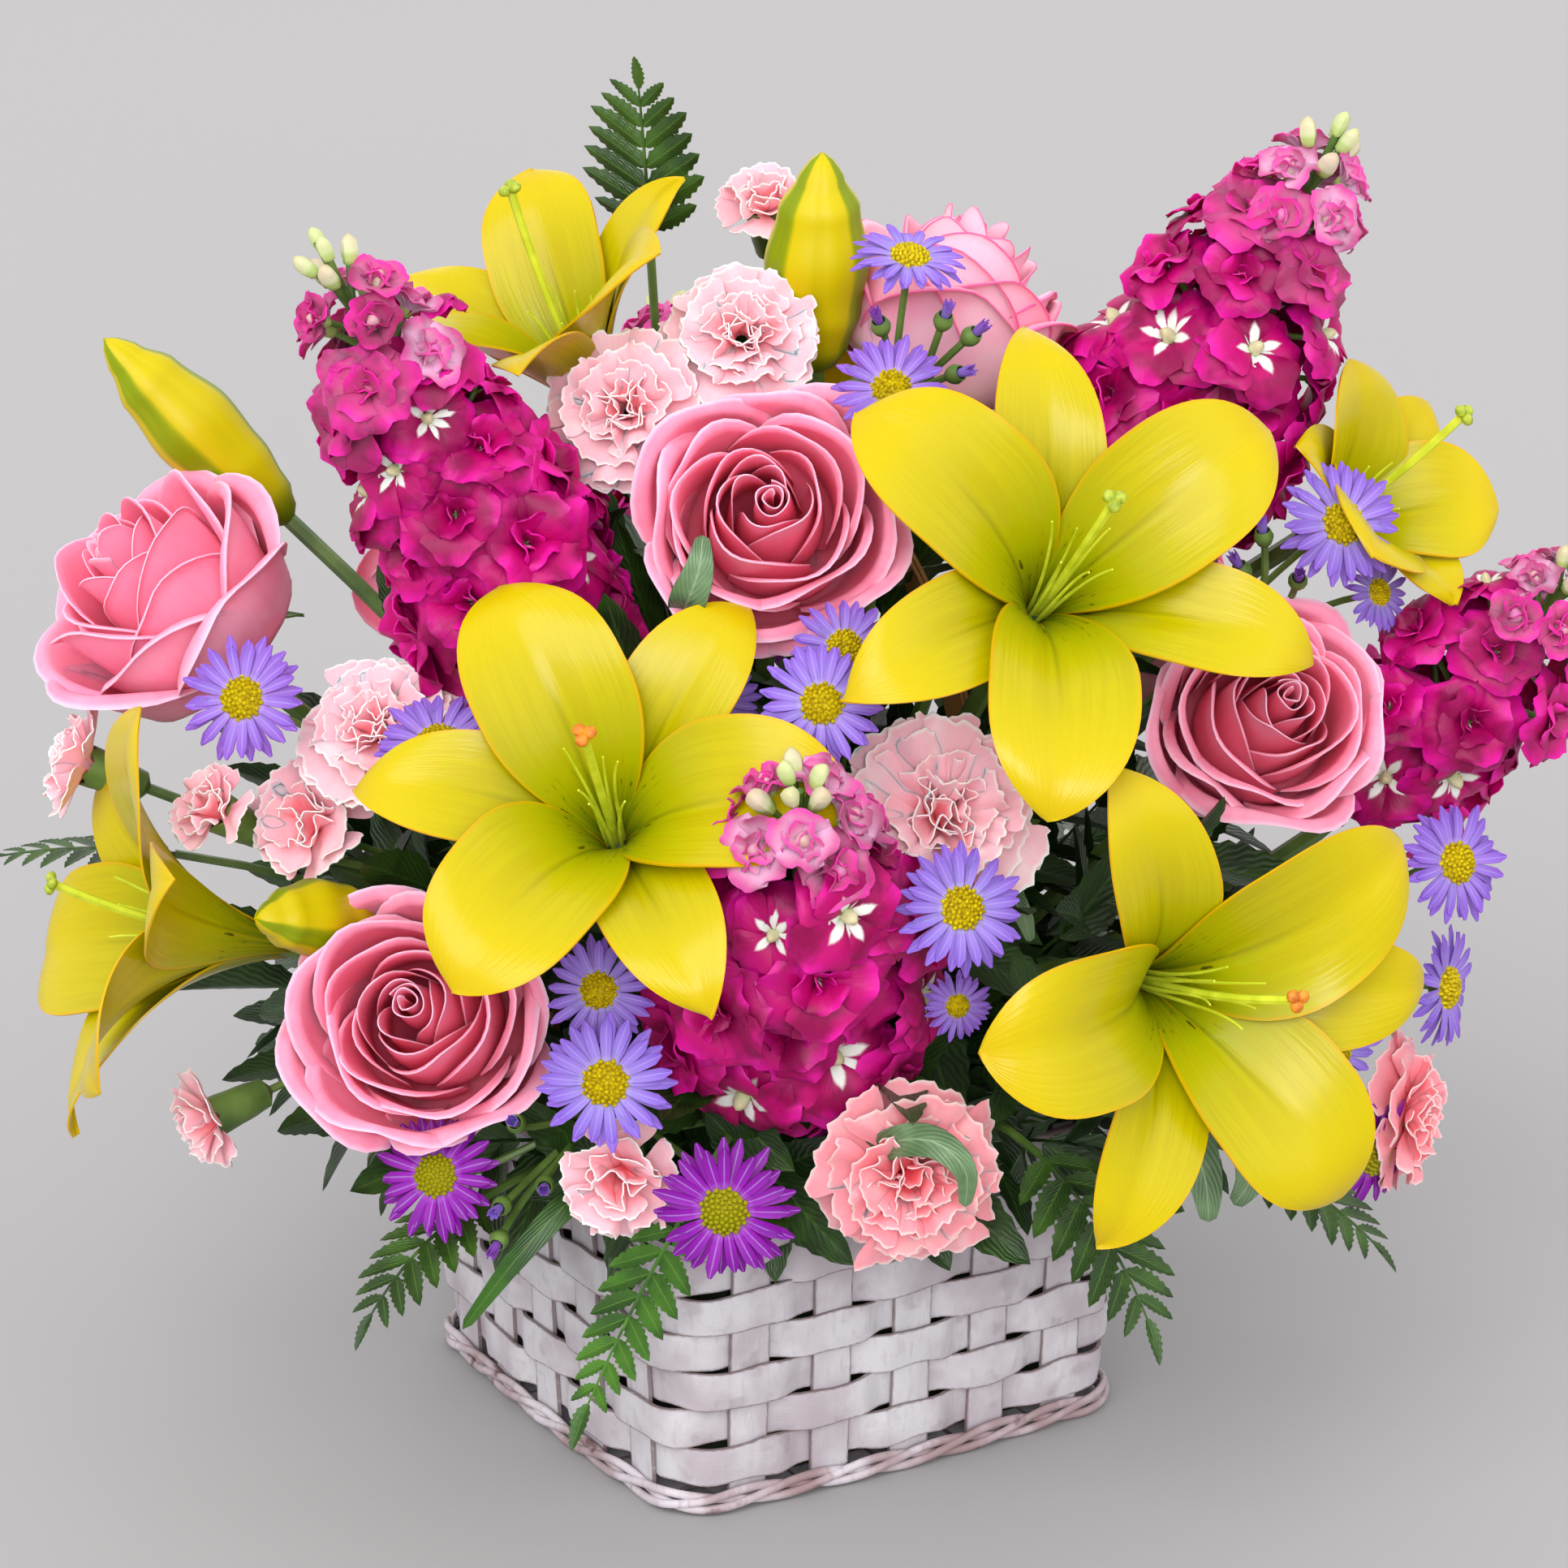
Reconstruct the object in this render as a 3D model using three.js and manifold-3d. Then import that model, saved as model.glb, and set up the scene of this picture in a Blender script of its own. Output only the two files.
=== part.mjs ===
// A flower basket arrangement: cut lilies, roses, carnations, stock, asters and fern
// fronds pushed into a block of wet floral foam, in a lined, whitewashed chip basket
// with a hoop handle. Millimetres, +Z up, origin on the table under the middle of the
// basket. The arrangement faces -Y.
import * as THREE from "three";
import { mergeVertices } from "three/addons/utils/BufferGeometryUtils.js";
import Module from "manifold-3d";

const wasm = await Module();
wasm.setup();

// ---------------------------------------------------------------- driving dimensions
const DEG = Math.PI / 180;
const GAP = 0.35; // clearance between pieces that touch in the real thing

const BASKET_TURN = 31 * DEG; // the basket stands corner first under the flowers
const FOOT_HALF = 82; // half the side of the wall's middle surface, at the foot
const RIM_HALF = 86.5; // and at the rim
const WALL_HEIGHT = 108;
const CORNER_R = 16;
const SIDE_BOW = 2.5; // each side bulges this much at its middle
const CHIP = 1.2; // thickness of the strips of wood chip
const STAKES_PER_SIDE = 5;
const STAKE_PITCH = 29.5;
const STAKE_WIDTH = 14;
const WEAVERS = 7;
const WEAVER_WIDTH = 12.5;
const WEAVER_PITCH = 13.2;
const FIRST_WEAVER_Z = 16.5;
const FLOOR_THICKNESS = 3;
const FOOT_RIM_HEIGHT = 8.5;
const FOOT_RIM_OUT = 5.5;
const RIM_THICKNESS = 4;
const RIM_INSIDE = CHIP / 2 + GAP + 0.2; // both rims start this far outside the middle surface

const LINER_WALL = 1.5;
const LINER_HEIGHT = 90;
const LINER_FOOT_HALF = 73;
const LINER_RIM_HALF = 77;
const LINER_CHAMFER = 14;
const FOAM_HALF = 62;
const FOAM_TOP = 134;
const FOAM_CHAMFER = 5;

const HANDLE_APEX_Z = 316;
const HANDLE_WIDTH = 14;
const HANDLE_THICKNESS = 3;
const HANDLE_FOOT_Z = 45;
const HANDLE_SPANS = 16; // straight spans that make up the arch

const LILY_LENGTH = 98; // of one petal
const LILY_OPENING = 105; // how far a petal's tip leans out from the bloom's axis, in degrees
const LILY_CLAW_LEAN = 12 * DEG; // how far it leans where it starts
const INNER_PETAL = { width: 49, closed: 6, behind: 0 };
const OUTER_PETAL = { width: 35, closed: 0, behind: 4 };
const BUD_WIDTH = 29;
const ROSE_RADIUS = 44;
const CARNATION_RADIUS = 25;
const CALYX_LENGTH = 21; // a carnation's green cup, under its petals
const ASTER_RADIUS = 20;
const STOCK_RADIUS = 38;
const FROND_DROOP = 30; // degrees
const LEAF_THICKNESS = 2.2; // petals and leaves, thick enough to stand for their ruffles

// Stems fan out of the foam. Inside it they lie on rays from one focus below; each ray
// ends on a shallow dome, from where the stem curves to its bloom.
const FOCUS = new THREE.Vector3(0, 0, 10);
const DOME_Z = 112;
const DOME_RADIUS = 56;
const DOME_RISE = 26;
const STEM_DEPTH = 0.42; // how much of its ray a stem has pushed into
const STEM_SPACING = 11.5;
const SPACING_ROUNDS = 200;
const FORK_RISE = 8; // a spray forks this much above the middle of its way
const TWIG_SHARE = 0.7; // a spray's twigs are this much of its stem's thickness

// ---------------------------------------------------------------- solids
function solidOf(geometry) {
  const bare = geometry.clone();
  bare.deleteAttribute("normal");
  bare.deleteAttribute("uv");
  const merged = mergeVertices(bare, 1e-3);
  const vertProperties = merged.attributes.position.array;
  const triVerts = new Uint32Array(merged.index.array);
  const solid = new wasm.Manifold(new wasm.Mesh({ numProp: 3, vertProperties, triVerts }));
  if (solid.volume() > 0) return solid;
  triVerts.reverse(); // its faces pointed inwards
  return new wasm.Manifold(new wasm.Mesh({ numProp: 3, vertProperties, triVerts }));
}

function geometryOf(solid) {
  const mesh = solid.getMesh();
  const geometry = new THREE.BufferGeometry();
  geometry.setAttribute("position", new THREE.BufferAttribute(mesh.vertProperties, 3));
  geometry.setIndex(new THREE.BufferAttribute(mesh.triVerts, 1));
  return geometry;
}

function joined(solids) {
  return solids.reduce((whole, solid) => whole.add(solid));
}

function largestOf(solid) {
  return solid.decompose().reduce((most, body) => (body.volume() > most.volume() ? body : most));
}

// A closed body through rings of points, all with as many points. A ring of one point
// is a tip. A closed loft joins its last ring to its first.
function loft(rings, closed = false) {
  const count = Math.max(...rings.map((ring) => ring.length));
  const positions = [];
  const face = (...corners) => corners.forEach((p) => positions.push(p.x, p.y, p.z));
  const at = (ring, i) => ring[i % ring.length];
  const spans = closed ? rings.length : rings.length - 1;
  for (let k = 0; k < spans; k++) {
    const [low, high] = [rings[k], rings[(k + 1) % rings.length]];
    for (let i = 0; i < count; i++) {
      if (low.length > 1) face(at(low, i), at(low, i + 1), at(high, i));
      if (high.length > 1) face(at(low, i + 1), at(high, i + 1), at(high, i));
    }
  }
  for (const [ring, turn] of closed ? [] : [[rings[0], 1], [rings[rings.length - 1], 0]])
    for (let i = 1; i < ring.length - 1; i++) face(ring[0], ring[i + turn], ring[i + 1 - turn]);
  const geometry = new THREE.BufferGeometry();
  return geometry.setAttribute("position", new THREE.Float32BufferAttribute(positions, 3));
}

// A turned body about +Z, from [radius, height] pairs that start and end on the axis,
// swollen by `grow` all round.
function turned(profile, segments, grow) {
  const last = profile.length - 1;
  const points = profile.map(([r, z], i) => {
    if (r === 0) return new THREE.Vector2(0, z + (i === 0 ? -grow : grow));
    const [r0, z0] = profile[Math.max(i - 1, 0)];
    const [r1, z1] = profile[Math.min(i + 1, last)];
    const span = Math.hypot(r1 - r0, z1 - z0);
    return new THREE.Vector2(r + (grow * (z1 - z0)) / span, z - (grow * (r1 - r0)) / span);
  });
  return new THREE.LatheGeometry(points, segments).rotateX(90 * DEG);
}

// A thin blade along rows of { centre, along, across, face, half, curl }: sections with
// sharp edges that stand `curl` towards the blade's face, down to a tip. Where it grows,
// it gets blunt edges and a blunt tip, so that it has room all round.
function blade(rows, grow) {
  const section = ({ centre, across, face, half, curl }) => {
    const point = (a, f) => centre.clone().addScaledVector(across, a).addScaledVector(face, f);
    const [reach, depth] = [half + grow, LEAF_THICKNESS / 2 + grow];
    if (grow === 0) return [point(-reach, curl), point(0, -depth), point(reach, curl), point(0, depth)];
    const [under, over] = [curl - grow, curl + grow];
    return [
      point(-reach, under), point(0, -depth), point(reach, under),
      point(reach, over), point(0, depth), point(-reach, over),
    ];
  };
  const tip = rows[rows.length - 1];
  const end = { ...tip, centre: tip.centre.clone().addScaledVector(tip.along, grow) };
  return loft([...rows.slice(0, -1).map(section), grow === 0 ? [tip.centre] : section(end)]);
}

function tube(path, radius, sides, steps) {
  const corner = (_, i) => {
    const angle = (2 * Math.PI * i) / sides;
    return new THREE.Vector2(radius * Math.cos(angle), radius * Math.sin(angle));
  };
  const section = new THREE.Shape(Array.from({ length: sides }, corner));
  return solidOf(new THREE.ExtrudeGeometry(section, { steps, extrudePath: path, bevelEnabled: false }));
}

// ---------------------------------------------------------------- basket
// A point of the wall: side number `side`, `along` it from its middle, at height z, moved
// `out` of the wall's middle surface. Past the straight stretch it follows the corner.
function wallPoint(side, along, z, out) {
  const straight = FOOT_HALF + ((RIM_HALF - FOOT_HALF) * z) / WALL_HEIGHT - CORNER_R;
  const flat = Math.min(Math.abs(along), straight);
  const turn = Math.min((Math.abs(along) - flat) / CORNER_R, Math.PI / 4) * Math.sign(along);
  const bow = SIDE_BOW * Math.cos(((flat / straight) * Math.PI) / 2);
  const reach = CORNER_R + out;
  const x = Math.sign(along) * flat + reach * Math.sin(turn);
  const y = -straight - reach * Math.cos(turn) - bow;
  return new THREE.Vector3(x, y, z).applyAxisAngle(new THREE.Vector3(0, 0, 1), side * 90 * DEG);
}

// Where a plain ring round the wall is given points: along the bowed side, and its corner.
const straightHalf = FOOT_HALF - CORNER_R;
const RING_SHARES = [-1, -0.5, 0, 0.5, 1, 1 + CORNER_R / straightHalf];
const RING_STATIONS = RING_SHARES.map((share) => share * straightHalf);

function aroundWall(section) {
  const rings = [];
  for (let side = 0; side < 4; side++)
    for (const along of RING_STATIONS) rings.push(section.map(([z, out]) => wallPoint(side, along, z, out)));
  return rings;
}

const middleOf = (_, k) => (k - (STAKES_PER_SIDE - 1) / 2) * STAKE_PITCH;
const stakeMiddles = Array.from({ length: STAKES_PER_SIDE }, middleOf);

// The four corners of a strip's section, as shares of its half width and half thickness.
const STRIP_CORNERS = [[-1, 1], [1, 1], [1, -1], [-1, -1]];
const OVER_STAKE = STAKE_WIDTH / 2 + 1; // a weaver runs level this far past a stake's middle

// One strip woven round the wall, over one stake and under the next.
function weaver(row) {
  const z = FIRST_WEAVER_Z + row * WEAVER_PITCH;
  const rings = [];
  const add = (side, along, out) => {
    const corner = ([up, face]) =>
      wallPoint(side, along, z + (up * WEAVER_WIDTH) / 2, out + (face * CHIP) / 2);
    rings.push(STRIP_CORNERS.map(corner));
  };
  for (let side = 0; side < 4; side++) {
    stakeMiddles.forEach((middle, k) => {
      const out = ((side * STAKES_PER_SIDE + k + row) % 2 ? -1 : 1) * (CHIP + GAP);
      add(side, middle - OVER_STAKE, out);
      add(side, middle + OVER_STAKE, out);
    });
    add(side, RIM_HALF + CORNER_R, 0);
  }
  return solidOf(loft(rings, true));
}

// The woven floor as one plate, with the stakes that turn up from it.
function floorAndStakes() {
  const outline = (z) => aroundWall([[z, CHIP / 2]]).map(([point]) => point);
  const pieces = [loft([outline(0), outline(FLOOR_THICKNESS)])];
  for (let side = 0; side < 4; side++)
    for (const middle of stakeMiddles) {
      const corner = ([end, face], z) =>
        wallPoint(side, middle + (end * STAKE_WIDTH) / 2, z, (face * CHIP) / 2);
      const section = (z) => STRIP_CORNERS.map((share) => corner(share, z));
      pieces.push(loft([section(FLOOR_THICKNESS / 2), section(WALL_HEIGHT)]));
    }
  return joined(pieces.map(solidOf));
}

// A band that runs round the wall, from one height to another and one offset to another.
function band(lowZ, highZ, inner, outer) {
  return solidOf(loft(aroundWall([[lowZ, outer], [highZ, outer], [highZ, inner], [lowZ, inner]]), true));
}

const weaveInside = (z) => -wallPoint(0, 0, z, 0).y - (CHIP + GAP) - CHIP / 2;

// The handle: one bent strip in the basket's XZ plane. Its feet stand inside the weave.
function handle(grow) {
  const section = (x, z, angle) =>
    STRIP_CORNERS.map(([out, side]) => {
      const reach = out * (HANDLE_THICKNESS / 2 + grow);
      const across = side * (HANDLE_WIDTH / 2 + grow);
      return new THREE.Vector3(x + reach * Math.cos(angle), across, z + reach * Math.sin(angle));
    });
  const legX = (z) => weaveInside(z) - GAP - HANDLE_THICKNESS / 2;
  const rise = HANDLE_APEX_Z - HANDLE_THICKNESS / 2 - WALL_HEIGHT;
  const half = legX(WALL_HEIGHT);
  const arch = Array.from({ length: HANDLE_SPANS + 1 }, (_, i) => {
    const angle = (i / HANDLE_SPANS) * Math.PI;
    const normal = Math.atan2(Math.sin(angle) * half, Math.cos(angle) * rise);
    return section(half * Math.cos(angle), WALL_HEIGHT + rise * Math.sin(angle), normal);
  });
  const foot = legX(HANDLE_FOOT_Z);
  return solidOf(
    loft([section(foot, HANDLE_FOOT_Z, 0), ...arch, section(-foot, HANDLE_FOOT_Z, Math.PI)]),
  );
}

function squareRing(half, chamfer, z) {
  const ring = [];
  for (let k = 0; k < 4; k++)
    for (const y of [chamfer - half, half - chamfer])
      ring.push(new THREE.Vector3(half, y, z).applyAxisAngle(new THREE.Vector3(0, 0, 1), k * 90 * DEG));
  return ring;
}

const LINER_Z = FLOOR_THICKNESS + GAP;

// A thin square cup that keeps the water in.
function liner() {
  const cup = loft([
    squareRing(LINER_FOOT_HALF, LINER_CHAMFER, LINER_Z),
    squareRing(LINER_RIM_HALF, LINER_CHAMFER, LINER_HEIGHT),
  ]);
  const inside = loft([
    squareRing(LINER_FOOT_HALF - LINER_WALL, LINER_CHAMFER, LINER_Z + LINER_WALL),
    squareRing(LINER_RIM_HALF - LINER_WALL, LINER_CHAMFER, LINER_HEIGHT + LINER_WALL),
  ]);
  return solidOf(cup).subtract(solidOf(inside));
}

function foamBlock() {
  const block = loft([
    squareRing(FOAM_HALF, FOAM_CHAMFER, LINER_Z + LINER_WALL + GAP),
    squareRing(FOAM_HALF, FOAM_CHAMFER, FOAM_TOP - FOAM_CHAMFER),
    squareRing(FOAM_HALF - FOAM_CHAMFER, FOAM_CHAMFER, FOAM_TOP),
  ]);
  return solidOf(block);
}

// ---------------------------------------------------------------- blooms
// Each is drawn with its foot at the origin, opening along +Z.

// How wide a petal and a leaf are along their length, as [share of length, share of width].
const PETAL_OUTLINE = [[0.1, 0.15], [0.3, 0.42], [0.58, 1], [0.82, 0.7], [1, 0]];
const LEAF_OUTLINE = [[0, 0.12], [0.16, 0.9], [0.4, 1], [0.7, 0.62], [1, 0]];
const PETAL_CURL = 0.12; // a petal's edges stand up by this share of its half width
const THROAT = [[0, -3], [6, 0], [9, 13], [0, 14]];

// One petal: its middle line is an arc that leans further and further out.
function lilyPetal(angle, length, opening, { width, closed, behind }, grow) {
  const start = LILY_CLAW_LEAN;
  const sweep = (opening - closed) * DEG - start;
  const round = new THREE.Vector3(-Math.sin(angle), Math.cos(angle), 0);
  const outward = new THREE.Vector3(Math.cos(angle), Math.sin(angle), 0);
  const mix = (r, h) => outward.clone().multiplyScalar(r).setZ(h);
  const rows = PETAL_OUTLINE.map(([share, wide]) => {
    const lean = start + sweep * share;
    const r = 3 + (length * (Math.cos(start) - Math.cos(lean))) / sweep;
    const h = (length * (Math.sin(lean) - Math.sin(start))) / sweep - behind;
    const half = (wide * width) / 2;
    return {
      centre: mix(r, h),
      across: round,
      along: mix(Math.sin(lean), Math.cos(lean)),
      face: mix(-Math.cos(lean), Math.sin(lean)),
      half,
      curl: PETAL_CURL * half,
    };
  });
  return blade(rows, grow);
}

function lily({ length = LILY_LENGTH, opening = LILY_OPENING, turns = [0, 0, 0, 0, 0, 0] }, grow) {
  const petals = turns.map((turn, i) =>
    lilyPetal((i * 60 + turn) * DEG, length, opening, i % 2 ? OUTER_PETAL : INNER_PETAL, grow),
  );
  return joined([...petals, turned(THROAT, 6, grow)].map(solidOf));
}

function lilyBud({ length, width = BUD_WIDTH }, grow) {
  const shares = [[0, 0], [0.35, 0.02], [0.85, 0.3], [1, 0.5], [0.75, 0.78], [0, 1]];
  const profile = shares.map(([r, z]) => [(r * width) / 2, z * length]);
  return solidOf(turned(profile, 8, grow));
}

function rose({ radius = ROSE_RADIUS }, grow) {
  const shares = [[0, 0], [0.25, 0.02], [0.7, 0.25], [1, 1], [0.84, 1.34], [0, 1.42]];
  const profile = shares.map(([r, z]) => [r * radius, z * radius]);
  return solidOf(turned(profile, 10, grow));
}

function carnation({ radius = CARNATION_RADIUS }, grow) {
  const calyx = [[0, 0], [5, 1], [6.5, CALYX_LENGTH - 3]];
  const shares = [[1, 0.2], [0.8, 0.7], [0, 0.9]];
  const head = shares.map(([r, z]) => [r * radius, CALYX_LENGTH + z * radius]);
  return solidOf(turned([...calyx, ...head], 8, grow));
}

function aster({ radius = ASTER_RADIUS }, grow) {
  return solidOf(turned([[0, 0], [radius, 4.5], [radius, 6], [6, 10], [0, 10.5]], 8, grow));
}

function stock({ length, radius = STOCK_RADIUS }, grow) {
  const shares = [[0, 0], [0.4, 0.02], [1, 0.22], [0.95, 0.5], [0.72, 0.78], [0.42, 0.97], [0, 1]];
  const profile = shares.map(([r, z]) => [r * radius, z * length]);
  return solidOf(turned(profile, 10, grow));
}

// A fern frond's outline, on an arc that droops towards its back.
function frond({ length, width, droop = FROND_DROOP }, grow) {
  const bend = droop * DEG;
  const rows = LEAF_OUTLINE.map(([share, wide]) => {
    const lean = bend * share;
    const y = (-length * (1 - Math.cos(lean))) / bend;
    return {
      centre: new THREE.Vector3(0, y, (length * Math.sin(lean)) / bend),
      across: new THREE.Vector3(1, 0, 0),
      along: new THREE.Vector3(0, -Math.sin(lean), Math.cos(lean)),
      face: new THREE.Vector3(0, Math.cos(lean), Math.sin(lean)),
      half: (wide * width) / 2,
      curl: 0,
    };
  });
  return solidOf(blade(rows, grow));
}

// ---------------------------------------------------------------- the flowers' places
const LILY = { make: lily, color: 0xf2d800, roughness: 0.45, stem: 3.2 };
const BUD = { make: lilyBud, color: 0xc3cc1e, roughness: 0.5, stem: 2.6 };
const ROSE = { make: rose, color: 0xee7fa0, roughness: 0.55, stem: 3 };
const STOCK = { make: stock, color: 0xb30a86, roughness: 0.6, stem: 3 };
const CARNATION = { make: carnation, color: 0xf6b6ba, roughness: 0.65, stem: 1.8 };
const ASTER = { make: aster, color: 0x8f7bd6, roughness: 0.6, stem: 1.7 };
const FERN = { make: frond, color: 0x2c5220, roughness: 0.55, stem: 1.4 };

// A stem's name, its kind and its blooms. Each bloom has the place of its foot, the way it
// faces (azimuth, where 0 is the front and 90 the right, and elevation from level) and
// what differs from its kind's usual shape. `roll` turns it about the way it faces.
const spray = (name, kind, ...blooms) => ({
  name,
  kind,
  blooms: blooms.map(([at, faces, shape]) => ({ at, faces, ...shape })),
});
const single = (name, kind, ...bloom) => spray(name, kind, bloom);

const PLANTS = [
  single("lily_front_left", LILY, [-46, -116, 226], [-6, 40], { roll: 119 }),
  single("lily_top_left", LILY, [-52, -14, 331], [-55, 62], { roll: 20, opening: 78, length: 84 }),
  single("lily_centre", LILY, [79, -84, 288], [14, 34], {
    roll: 30,
    length: 104,
    turns: [0, 0, -8, -8, -14, 6],
  }),
  single("lily_front_right", LILY, [110, -114, 184], [26, 8], {
    roll: 61,
    length: 104,
    turns: [-30, -12, 0, 0, 0, -6],
  }),
  single("lily_left", LILY, [-152, -80, 181], [-75, 14], { roll: 90, opening: 85 }),
  single("lily_right", LILY, [172, 5, 290], [50, 35], { roll: 90, opening: 86, length: 66 }),
  single("lily_back", LILY, [20, 110, 240], [176, 34], { roll: 90 }),
  single("lily_bud_left", BUD, [-155, 25, 288], [-90, 45], { length: 84 }),
  single("lily_bud_top", BUD, [14, -12, 347], [-6, 80], { length: 72, width: 32 }),
  single("lily_bud_front", BUD, [-121, -84, 192], [-47, 12], { length: 50, width: 24 }),
  single("lily_bud_green", BUD, [70, -24, 312], [40, 68], { length: 42, width: 17 }),
  single("rose_left", ROSE, [-174, -6, 254], [-60, 45], { radius: 46 }),
  single("rose_centre", ROSE, [-1, -61, 305], [0, 28]),
  single("rose_right", ROSE, [150, -28, 233], [10, 30], { radius: 41 }),
  single("rose_front_left", ROSE, [-103, -91, 157], [-8, 28]),
  single("rose_top", ROSE, [44, 2, 338], [110, 66], { radius: 43 }),
  single("rose_back_left", ROSE, [-85, 90, 236], [-140, 35]),
  single("rose_back_right", ROSE, [110, 75, 225], [135, 25]),
  single("stock_left", STOCK, [-56, -50, 239], [-60, 62], { length: 195 }),
  single("stock_right_tall", STOCK, [105, 8, 280], [80, 63], { length: 162, radius: 40 }),
  single("stock_right", STOCK, [192, 0, 205], [60, 50], { length: 110, radius: 34 }),
  single("stock_front", STOCK, [6, -94, 148], [2, 56], { length: 142, radius: 43 }),
  single("stock_back", STOCK, [-25, 74, 248], [-170, 55], { length: 118 }),
  spray(
    "carnation_spray_top", CARNATION,
    [[-9, -22, 353], [0, 32], { radius: 24 }],
    [[-39, -32, 334], [-15, 28]],
    [[0, 30, 374], [-10, 60], { radius: 14 }],
  ),
  single("carnation_spray_right", CARNATION, [45, -96, 228], [15, 28], { radius: 32 }),
  spray(
    "carnation_spray_left", CARNATION,
    [[-115, -67, 236], [-20, 45]],
    [[-157, -69, 213], [-50, 35], { radius: 14 }],
    [[-133, -60, 209], [-25, 30], { radius: 18 }],
  ),
  single("carnation_spray_far_left", CARNATION, [-196, -35, 217], [-80, 25], { radius: 17 }),
  spray(
    "carnation_spray_low_left", CARNATION,
    [[-121, -58, 143], [-25, 0]],
    [[-157, -72, 130], [-60, -15], { radius: 15 }],
  ),
  spray(
    "carnation_spray_low_front", CARNATION,
    [[-43, -122, 131], [-5, 0], { radius: 18 }],
    [[38, -118, 129], [10, 0], { radius: 28 }],
  ),
  single("carnation_spray_low_right", CARNATION, [185, -25, 106], [70, 0], { radius: 24 }),
  spray(
    "carnation_spray_back", CARNATION,
    [[60, 100, 165], [150, 10]],
    [[-50, 108, 170], [-165, 10]],
    [[-110, 60, 190], [-115, 15], { radius: 22 }],
  ),
  spray(
    "aster_spray_top", ASTER,
    [[41, -58, 388], [20, 70], { radius: 18 }],
    [[36, -81, 356], [0, 35], { radius: 18 }],
  ),
  spray("aster_spray_right", ASTER, [[175, -36, 303], [15, 25]], [[188, -21, 277], [40, 20], { radius: 13 }]),
  spray(
    "aster_spray_centre", ASTER,
    [[21, -115, 287], [10, 30], { radius: 16 }],
    [[15, -135, 276], [0, 25], { radius: 19 }],
    [[-18, -105, 268], [10, 20], { radius: 15 }],
  ),
  spray("aster_spray_left", ASTER, [[-158, -86, 262], [-15, 25]], [[-98, -115, 254], [-10, 50]]),
  spray(
    "aster_spray_front_right", ASTER,
    [[54, -146, 217], [20, 20]],
    [[55, -130, 181], [15, 10], { radius: 11 }],
  ),
  spray(
    "aster_spray_front_left", ASTER,
    [[-50, -140, 189], [-10, 20], { radius: 17 }],
    [[-48, -155, 167], [-5, 10], { radius: 21 }],
    [[-13, -160, 129], [-5, 5], { radius: 22 }],
    [[-99, -131, 125], [-20, 25]],
  ),
  spray(
    "aster_spray_low_right", ASTER,
    [[212, -41, 194], [35, 20]],
    [[210, -33, 150], [60, 5]],
    [[174, -66, 142], [30, 5], { radius: 17 }],
    [[189, -42, 98], [50, -10]],
  ),
  spray(
    "aster_spray_back", ASTER,
    [[15, 130, 195], [180, 15]],
    [[-20, 122, 215], [-172, 25]],
    [[75, 108, 200], [160, 20]],
  ),
  single("fern_top", FERN, [-38, 5, 385], [-20, 84], { length: 56, width: 44, droop: 8 }),
  single("fern_hanging", FERN, [-27, -146, 118], [-75, -60], { roll: 80, length: 72, width: 34, droop: 12 }),
  single("fern_low_left", FERN, [-88, -116, 112], [-45, -10], { length: 60, width: 40, droop: 40 }),
  single("fern_low_right", FERN, [82, -110, 124], [40, -20], { length: 72, width: 50, droop: 40 }),
  single("fern_right", FERN, [145, -78, 112], [60, -10], { length: 60, width: 44 }),
  single("fern_left", FERN, [-190, -20, 190], [-80, 12], { length: 62, width: 36, droop: 20 }),
  single("fern_back_left", FERN, [-85, 95, 150], [-140, 10], { length: 80, width: 60, droop: 50 }),
  single("fern_back_right", FERN, [90, 95, 150], [140, 10], { length: 80, width: 60, droop: 50 }),
];

// Stems that curve aside on their way, past the handle or a neighbour.
const SWAY = {
  lily_left: [9, -15, 0],
  lily_bud_front: [6, -10, -8],
  rose_front_left: [3, -3, -9],
  rose_back_right: [-13, 21, 0],
  stock_left: [18, -30, 0],
  carnation_spray_top: [0, 22, 0],
  carnation_spray_left: [12, -20, 0],
  carnation_spray_low_left: [-3, 5, 0],
};

const outwardOf = ([azimuth, elevation]) =>
  new THREE.Vector3(
    Math.sin(azimuth * DEG) * Math.cos(elevation * DEG),
    -Math.cos(azimuth * DEG) * Math.cos(elevation * DEG),
    Math.sin(elevation * DEG),
  );

function placed(solid, { at, faces, roll = 0 }) {
  const out = outwardOf(faces);
  const right = new THREE.Vector3(Math.cos(faces[0] * DEG), Math.sin(faces[0] * DEG), 0);
  const up = out.clone().cross(right);
  const matrix = new THREE.Matrix4().makeBasis(right, up, out).setPosition(...at);
  matrix.multiply(new THREE.Matrix4().makeRotationZ(roll * DEG));
  return solidOf(geometryOf(solid).applyMatrix4(matrix));
}

// ---------------------------------------------------------------- stems
const headOf = ({ at }) => new THREE.Vector3(...at);

function centreOf(blooms) {
  const sum = blooms.reduce((total, bloom) => total.add(headOf(bloom)), new THREE.Vector3());
  return sum.divideScalar(blooms.length);
}

// Two stems that come out too close together push each other along the dome.
function keepApart(spot, other) {
  const apart = other.clone().sub(spot);
  const short = STEM_SPACING - apart.length();
  if (short <= 0) return;
  const push = apart.normalize().multiplyScalar(short * 0.3);
  spot.sub(push).clampLength(0, DOME_RADIUS);
  other.add(push).clampLength(0, DOME_RADIUS);
}

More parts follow.
